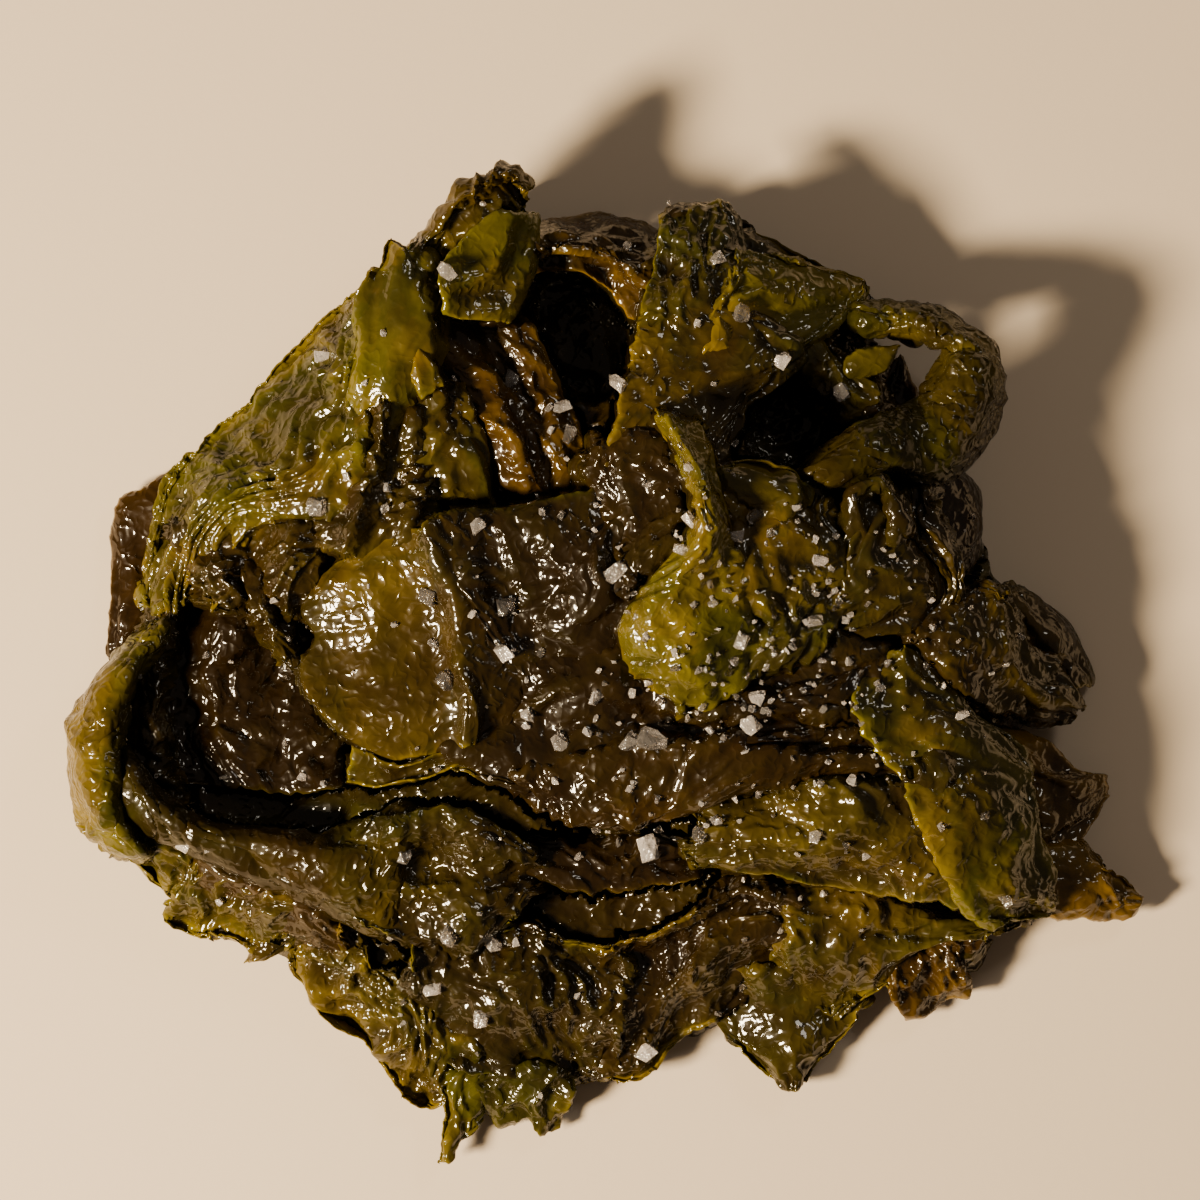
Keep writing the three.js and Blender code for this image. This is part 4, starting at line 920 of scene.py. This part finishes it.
# How much lighter a place is for its sheet's tone and painted shade, painted light on its wrinkles, a
# painted highlight on its rim, and painted light through where few lie below it.
TONE_AND_SHADE_GLOW, RELIEF_GLOW, RIM_HIGHLIGHT, THIN_GLOW = 0.8, 0.13, 0.72, 0.12
THIN_AMBER = 0.45  # how much browner it is where few sheets lie below it, painted light coming through thin kelp


def sheet_piece(sheet, form, maps, thickness, material):
    """One sheet as a closed shell, thinner towards its edges, with the values its colours need."""
    thick = thickness * (0.35 + 0.65 * (1 - np.exp(-form.edge / THINNING)))
    vertices, blocks = shell(form.points, form.normals, thick)
    x, y, z = np.moveaxis(form.points, -1, 0)
    below = maps[:, map_index(x), map_index(y)]
    # where few sheets lie below, painted light coming through the kelp makes it lighter and browner
    thin = np.exp(-0.5 * ((below > 0) & (below < z - COVER_GAP)).sum(axis=0))
    # painted highlight and painted light coming through along the free edges
    rim_highlight = np.exp(-form.edge / RIM_HIGHLIGHT_WIDTH)
    # painted shade towards the right edge, on the side turned from the light
    place = np.clip((np.linspace(0, 1, x.shape[1]) - SHADE_START) / SHADE_LENGTH, 0, 1)
    painted_shade = sheet.fade * place * place * (3 - 2 * place)
    level = np.clip(form.normals[..., 2], 0, 1)
    # painted light and shade: the tone with painted shade, shade towards the right edge, lighter wrinkle
    # crests with darker valleys, and the rim highlight
    glow = TONE_AND_SHADE_GLOW * sheet.tone - painted_shade + RELIEF_GLOW * form.relief + RIM_HIGHLIGHT * rim_highlight
    attributes = {
        "glow": glow + THIN_GLOW * thin,
        "amber": np.clip(sheet.amber + THIN_AMBER * thin, -0.3, 1),
        "crumple": CRUMPLE[sheet.style] * (1.6 - 0.6 * level),
        "wet": np.clip(1.6 * level, 0.5, 1),
    }
    attributes = {key: np.tile(values.ravel(), 2) for key, values in attributes.items()}
    join_heap(new_mesh(f"kombu_{sheet.name}", vertices, blocks, attributes), material)


CORE_REACH = (90, 86, 97, 94, 94, 95, 104, 98, 88, 84, 82, 92)  # every 30 degrees round the middle
CORE_SETBACK = 5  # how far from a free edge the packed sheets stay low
CORE_STEP = 9  # how high over its surroundings such an edge is at least
GAP_RADIUS = 7  # gaps narrower than twice this are filled by packed sheets
GAP_DROP = 4.0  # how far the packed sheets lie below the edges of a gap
HOLLOW_FLOOR = 9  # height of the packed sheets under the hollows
RIM_SLOPE = 2.0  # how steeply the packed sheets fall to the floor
WALL_DEPTH = 8  # how far in from the outline its wrinkles reach
RING_SPACING, SECTOR_SPACING = 1.3, 1.5  # against the spacing of the sheets' points
TOP_SEED, WALL_SEED = 9000, 9100
CORE_GLOW = (0.28, 0.08, 0.1)  # of its top, its wrinkles and its underside; the dark top is painted shade in the hollows, and wrinkle crests get painted light
CORE_AMBER, CORE_WET = 0.25, 0.8


def core_reach(angle):
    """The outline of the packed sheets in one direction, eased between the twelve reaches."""
    step = angle / TURN * len(CORE_REACH)
    i = np.floor(step).astype(int)
    ease = 0.5 - 0.5 * np.cos(np.pi * (step - i))
    reach = np.asarray(CORE_REACH, float)
    return reach[i % 12] * (1 - ease) + reach[(i + 1) % 12] * ease


def core_heights(cover):
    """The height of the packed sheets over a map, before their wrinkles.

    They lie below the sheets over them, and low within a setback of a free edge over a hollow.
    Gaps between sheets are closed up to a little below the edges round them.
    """
    lowest = spread(cover, CORE_SETBACK, np.minimum)
    ceiling = np.where(cover - lowest > CORE_STEP, lowest, cover)
    closed = spread(spread(cover, GAP_RADIUS, np.maximum), GAP_RADIUS, np.minimum)
    return blur(np.maximum(ceiling - 1, closed - GAP_DROP), 1)


def core_piece(cover, spacing, thickness, depth, material):
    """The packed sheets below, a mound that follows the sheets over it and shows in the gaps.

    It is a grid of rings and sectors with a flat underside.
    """
    rings = int(max(CORE_REACH) / (RING_SPACING * spacing))
    sectors = int(TURN * max(CORE_REACH) / (SECTOR_SPACING * spacing))
    turns = np.linspace(0, TURN, sectors, endpoint=False)
    reach, angle = np.meshgrid(np.arange(1, rings + 1) / rings, turns, indexing="ij")
    x, y = (core_reach(angle) * reach * turn for turn in (np.cos(angle), np.sin(angle)))
    wrinkles = depth * relief("packed", x, y, TOP_SEED)
    floor = (HOLLOW_FLOOR + wrinkles) * (1 - reach**4) + 1
    packed = sample(core_heights(cover), x, y) + 0.5 * wrinkles * (1 - reach**8)
    z = np.maximum(packed, floor)
    here = sample(cover, x, y)
    z = np.where(here > 0, np.minimum(z, np.maximum(here - 2 * thickness, 0.5)), z)
    inset = (1 - reach) * core_reach(angle)
    z = np.minimum(z, RIM_SLOPE * inset)
    layers = depth * relief("packed", 90 * angle, 3 * z, WALL_SEED) * np.exp(-inset / WALL_DEPTH)
    upper = np.stack([x - layers * np.cos(angle), y - layers * np.sin(angle), z], axis=-1)
    vertices = np.concatenate([upper.reshape(-1, 3), [[0, 0, z[0].mean()], [0, 0, 0]]])
    index = np.arange(rings * sectors).reshape(rings, sectors)
    following = np.roll(index, -1, axis=1)
    corners = [index[:-1], index[1:], following[1:], following[:-1]]
    quads = np.stack(corners, axis=-1).reshape(-1, 4)
    top = np.full(sectors, index.size)
    fans = ((top, index[0], following[0]), (top + 1, following[-1], index[-1]))
    fans = [np.stack(fan, axis=1) for fan in fans]
    # painted shade on the packed sheets where they show in the hollows, lighter on wrinkle crests and darker
    # in their valleys
    glow = np.append(CORE_GLOW[0] + CORE_GLOW[1] * wrinkles, [CORE_GLOW[2]] * 2)
    even = np.ones(len(glow))
    attributes = {"glow": glow, "amber": CORE_AMBER * even, "crumple": even, "wet": CORE_WET * even}
    join_heap(new_mesh("kombu_packed_sheets", vertices, (quads, *fans), attributes), material)


SALT_SEED = 23
SALT_GAP = 0.1  # least height of a crystal over the floor
SALT_PATCHES = (((32, 0), 20), ((0, 0), 60))  # middle and spread of the thick patch and of the rest
PATCH_SHARE = 0.45  # share of the small crystals in the thick patch
SALT_REACH = 112  # greatest distance of a small crystal from the middle
SALT_GROUND = 8  # least height of the sheet under a small crystal
SALT_CLEAR = (0.74, 1.0)  # from the most frosted crystal to the clearest


def crystal(size, rng):
    """A broken crystal as the hull of points drawn over a leaning block: vertices and triangles."""
    count = rng.integers(14, 24)
    points = rng.uniform(-1, 1, (count, 3))
    points /= np.abs(points).max(axis=1, keepdims=True) ** rng.uniform(0.5, 0.95)
    points *= (1.0, rng.uniform(0.55, 0.95), rng.uniform(0.4, 0.8))
    points[:, 0] += rng.uniform(-0.35, 0.35) * points[:, 2]
    turn = Matrix.Rotation(rng.uniform(0, TURN), 3, "Z")
    turn = turn @ Matrix.Rotation(rng.uniform(-0.5, 0.5), 3, "X")
    hull = bmesh.new()
    for point in points * size / 2 @ np.array(turn).T:
        hull.verts.new(point)
    bmesh.ops.convex_hull(hull, input=hull.verts)
    loose = [vertex for vertex in hull.verts if not vertex.link_faces]
    bmesh.ops.delete(hull, geom=loose, context="VERTS")
    bmesh.ops.recalc_face_normals(hull, faces=hull.faces)
    hull.verts.index_update()
    vertices = np.array([vertex.co for vertex in hull.verts])
    faces = np.array([[vertex.index for vertex in face.verts] for face in hull.faces])
    hull.free()
    return vertices, faces


def salt_places(count, smallest, top, rng):
    """Places and sizes of all crystals: the large ones, and small ones thickest near the middle."""
    places = list(LARGE_SALT)
    while len(places) < count + len(LARGE_SALT):
        centre, width = SALT_PATCHES[0 if rng.random() < PATCH_SHARE else 1]
        x, y = rng.normal(centre, width)
        if np.hypot(x, y) < SALT_REACH and top[map_index(x), map_index(y)] > SALT_GROUND:
            places.append((x, y, smallest * rng.uniform(1, 1.6) ** 3))
    return places


def salt_piece(count, smallest, sink, top, material):
    """All salt crystals as one mesh, each resting on the topmost sheet."""
    rng = np.random.default_rng(SALT_SEED)
    vertices, blocks, clear = [], [], []
    for x, y, size in salt_places(count, smallest, top, rng):
        column, row = map_index(x), map_index(y)
        ground = top[column - 1 : column + 2, row - 1 : row + 2]
        z = ground[ground > 0].mean() if (ground > 0).any() else 0.0
        points, triangles = crystal(size, rng)
        z = max(z + size * (0.3 - sink), SALT_GAP - points[:, 2].min())
        blocks.append(triangles + len(clear))
        vertices.append(points + (x, y, z))
        clear += [rng.uniform(*SALT_CLEAR)] * len(points)
    attributes = {"clear": np.array(clear)}
    join_heap(new_mesh("salt_crystals", np.concatenate(vertices), blocks, attributes, False), material)


# ---- settings and operators ----


class SheetSettings(bpy.types.PropertyGroup):
    """How the sheets are made."""

    spacing: bpy.props.FloatProperty(
        name="Spacing", description="Distance between mesh points, in mm", default=0.62, min=0.4, max=4
    )
    thickness: bpy.props.FloatProperty(
        name="Thickness", description="Thickness of a sheet, in mm", default=1.0, min=0.5, max=3
    )
    depth: bpy.props.FloatProperty(
        name="Wrinkle depth", description="Depth of wrinkles against the usual", default=1.0, min=0, max=2
    )
    ragged: bpy.props.FloatProperty(
        name="Ragged edges", description="How unevenly edges are torn, in mm", default=0.9, min=0, max=4
    )
    # The colours at full lightness: painted light coming through thin kombu, and painted highlights along
    # its rims and crests.
    lit_thin_green: bpy.props.FloatVectorProperty(
        name="Thin green", description="Green of thin kombu", subtype="COLOR", default=(0.064, 0.055, 0.0013)
    )
    lit_thin_amber: bpy.props.FloatVectorProperty(
        name="Thin amber", description="Amber of thin kombu", subtype="COLOR", default=(0.105, 0.056, 0.0018)
    )


class SaltSettings(bpy.types.PropertyGroup):
    """How the salt is scattered."""

    count: bpy.props.IntProperty(
        name="Small crystals", description="Crystals besides the large ones", default=420, min=0, max=2000
    )
    smallest: bpy.props.FloatProperty(
        name="Smallest", description="Size of the smallest crystal, in mm", default=0.55, min=0.2, max=3
    )
    sink: bpy.props.FloatProperty(
        name="Sink", description="Share of a crystal that has sunk in", default=0.15, min=0, max=0.5
    )
    colour: bpy.props.FloatVectorProperty(
        name="Colour", description="Colour of the salt", default=(0.82, 0.75, 0.71), subtype="COLOR"
    )


class StageSettings(bpy.types.PropertyGroup):
    """The camera, the lights and the floor."""

    camera_height: bpy.props.FloatProperty(
        name="Camera height", description="Height of the camera", default=2.2, unit="LENGTH"
    )
    view_width: bpy.props.FloatProperty(
        name="View width", description="Width of the picture at the heap", default=0.2609, unit="LENGTH"
    )
    key_power: bpy.props.FloatProperty(name="Key", description="Power of the key light, in W", default=63)
    fill_power: bpy.props.FloatProperty(name="Fill", description="Power of the fill light, in W", default=3)
    sky: bpy.props.FloatProperty(name="Sky", description="Strength of the even light", default=0.13)
    floor_colour: bpy.props.FloatVectorProperty(
        name="Floor", description="Colour of the floor", default=(0.53, 0.43, 0.33), subtype="COLOR"
    )


FRAME_CENTRE = (-1.4, 15.0)  # middle of the picture
FRAME_LEVEL = 25  # height at which the picture has its width
SENSOR_WIDTH = 36
FLOOR_REACH = 1500
# Place, size and colour of each light.
KEY_LIGHT = ((-0.80, -0.37, 0.70), 0.22, (1.0, 0.81, 0.54))
FILL_LIGHT = ((0.7, 0.7, 0.9), 0.25, (1.0, 0.92, 0.80))
LIGHT_AIM = (0, 0, 0.02)
SKY_COLOUR = (1.0, 0.80, 0.60, 1)


def add_light(name, power, place, size, colour):
    """A square area light at a place, turned towards the heap."""
    data = bpy.data.lights.new(name, "AREA")
    data.shape = "SQUARE"
    data.size = size
    data.energy = power
    data.color = colour
    light = bpy.data.objects.new(name, data)
    light.location = place
    light.rotation_euler = (Vector(LIGHT_AIM) - Vector(place)).to_track_quat("-Z", "Y").to_euler()
    bpy.context.scene.collection.objects.link(light)


def form_arguments(context):
    """The settings that the sheets' forms depend on."""
    settings = context.scene.kombu_sheets
    return settings.spacing, settings.depth, settings.ragged


def top_map(context):
    """The height map of the whole heap."""
    return sheet_maps(*form_arguments(context)).max(axis=0)


class KOMBU_OT_packed_sheets(bpy.types.Operator):
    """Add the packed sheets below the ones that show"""

    bl_idname = "kombu.packed_sheets"
    bl_label = "Packed sheets"

    def execute(self, context):
        settings = context.scene.kombu_sheets
        sizes = (settings.spacing, settings.thickness, settings.depth)
        core_piece(top_map(context), *sizes, kombu_wet(context))
        return {"FINISHED"}


class KOMBU_OT_sheets(bpy.types.Operator):
    """Add the sheets that show, from the fringe to the top"""

    bl_idname = "kombu.sheets"
    bl_label = "Kombu sheets"

    def execute(self, context):
        arguments = form_arguments(context)
        thickness = context.scene.kombu_sheets.thickness
        for sheet, form in zip(SHEETS, sheet_forms(*arguments)):
            sheet_piece(sheet, form, sheet_maps(*arguments), thickness, kombu_wet(context))
        return {"FINISHED"}


class KOMBU_OT_salt(bpy.types.Operator):
    """Scatter the salt over the heap"""

    bl_idname = "kombu.salt"
    bl_label = "Salt"

    def execute(self, context):
        settings = context.scene.kombu_salt
        sizes = (settings.count, settings.smallest, settings.sink)
        salt_piece(*sizes, top_map(context), salt_material(settings.colour))
        return {"FINISHED"}


class KOMBU_OT_stage(bpy.types.Operator):
    """Add the floor, the lights and the camera"""

    bl_idname = "kombu.stage"
    bl_label = "Stage"

    def execute(self, context):
        settings = context.scene.kombu_stage
        corners = np.array([[-1, -1, 0], [1, -1, 0], [1, 1, 0], [-1, 1, 0]], float) * FLOOR_REACH
        floor = new_mesh("floor", corners, [np.array([[0, 1, 2, 3]])], {}, smooth=False)
        floor.data.materials.append(floor_material(settings.floor_colour))

        camera = bpy.data.objects.new("camera", bpy.data.cameras.new("camera"))
        camera.location = (FRAME_CENTRE[0] * MM, FRAME_CENTRE[1] * MM, settings.camera_height)
        distance = settings.camera_height - FRAME_LEVEL * MM
        camera.data.sensor_width = SENSOR_WIDTH
        camera.data.lens = SENSOR_WIDTH * distance / settings.view_width
        context.scene.collection.objects.link(camera)
        context.scene.camera = camera

        add_light("key", settings.key_power, *KEY_LIGHT)
        add_light("fill", settings.fill_power, *FILL_LIGHT)
        world = bpy.data.worlds.new("studio")
        world.use_nodes = True
        background = world.node_tree.nodes["Background"]
        background.inputs["Color"].default_value = SKY_COLOUR
        background.inputs["Strength"].default_value = settings.sky
        context.scene.world = world
        return {"FINISHED"}


class KOMBU_PT_panel(bpy.types.Panel):
    """The sidebar panel of the kombu heap"""

    bl_label = "Kombu heap"
    bl_idname = "KOMBU_PT_panel"
    bl_space_type = "VIEW_3D"
    bl_region_type = "UI"
    bl_category = "Kombu"

    def draw(self, context):
        layout = self.layout
        for group in GROUPS:
            settings = getattr(context.scene, group)
            box = layout.box()
            for key in settings.bl_rna.properties.keys():
                if key not in {"rna_type", "name"}:
                    box.prop(settings, key)
        for operator in OPERATORS:
            layout.operator(operator.bl_idname)


GROUPS = {"kombu_sheets": SheetSettings, "kombu_salt": SaltSettings, "kombu_stage": StageSettings}
OPERATORS = (KOMBU_OT_packed_sheets, KOMBU_OT_sheets, KOMBU_OT_salt, KOMBU_OT_stage)


def register():
    """Makes the settings, the operators and the panel known."""
    for key, group in GROUPS.items():
        bpy.utils.register_class(group)
        setattr(bpy.types.Scene, key, bpy.props.PointerProperty(type=group))
    for cls in (*OPERATORS, KOMBU_PT_panel):
        bpy.utils.register_class(cls)


def unregister():
    """Takes them away again, in the opposite order."""
    for cls in reversed((*OPERATORS, KOMBU_PT_panel)):
        bpy.utils.unregister_class(cls)
    for key, group in reversed(GROUPS.items()):
        delattr(bpy.types.Scene, key)
        bpy.utils.unregister_class(group)


def main():
    """Builds the heap and its stage."""
    register()
    bpy.ops.kombu.packed_sheets()
    bpy.ops.kombu.sheets()
    bpy.ops.kombu.salt()
    bpy.ops.kombu.stage()


if __name__ == "__main__":
    main()
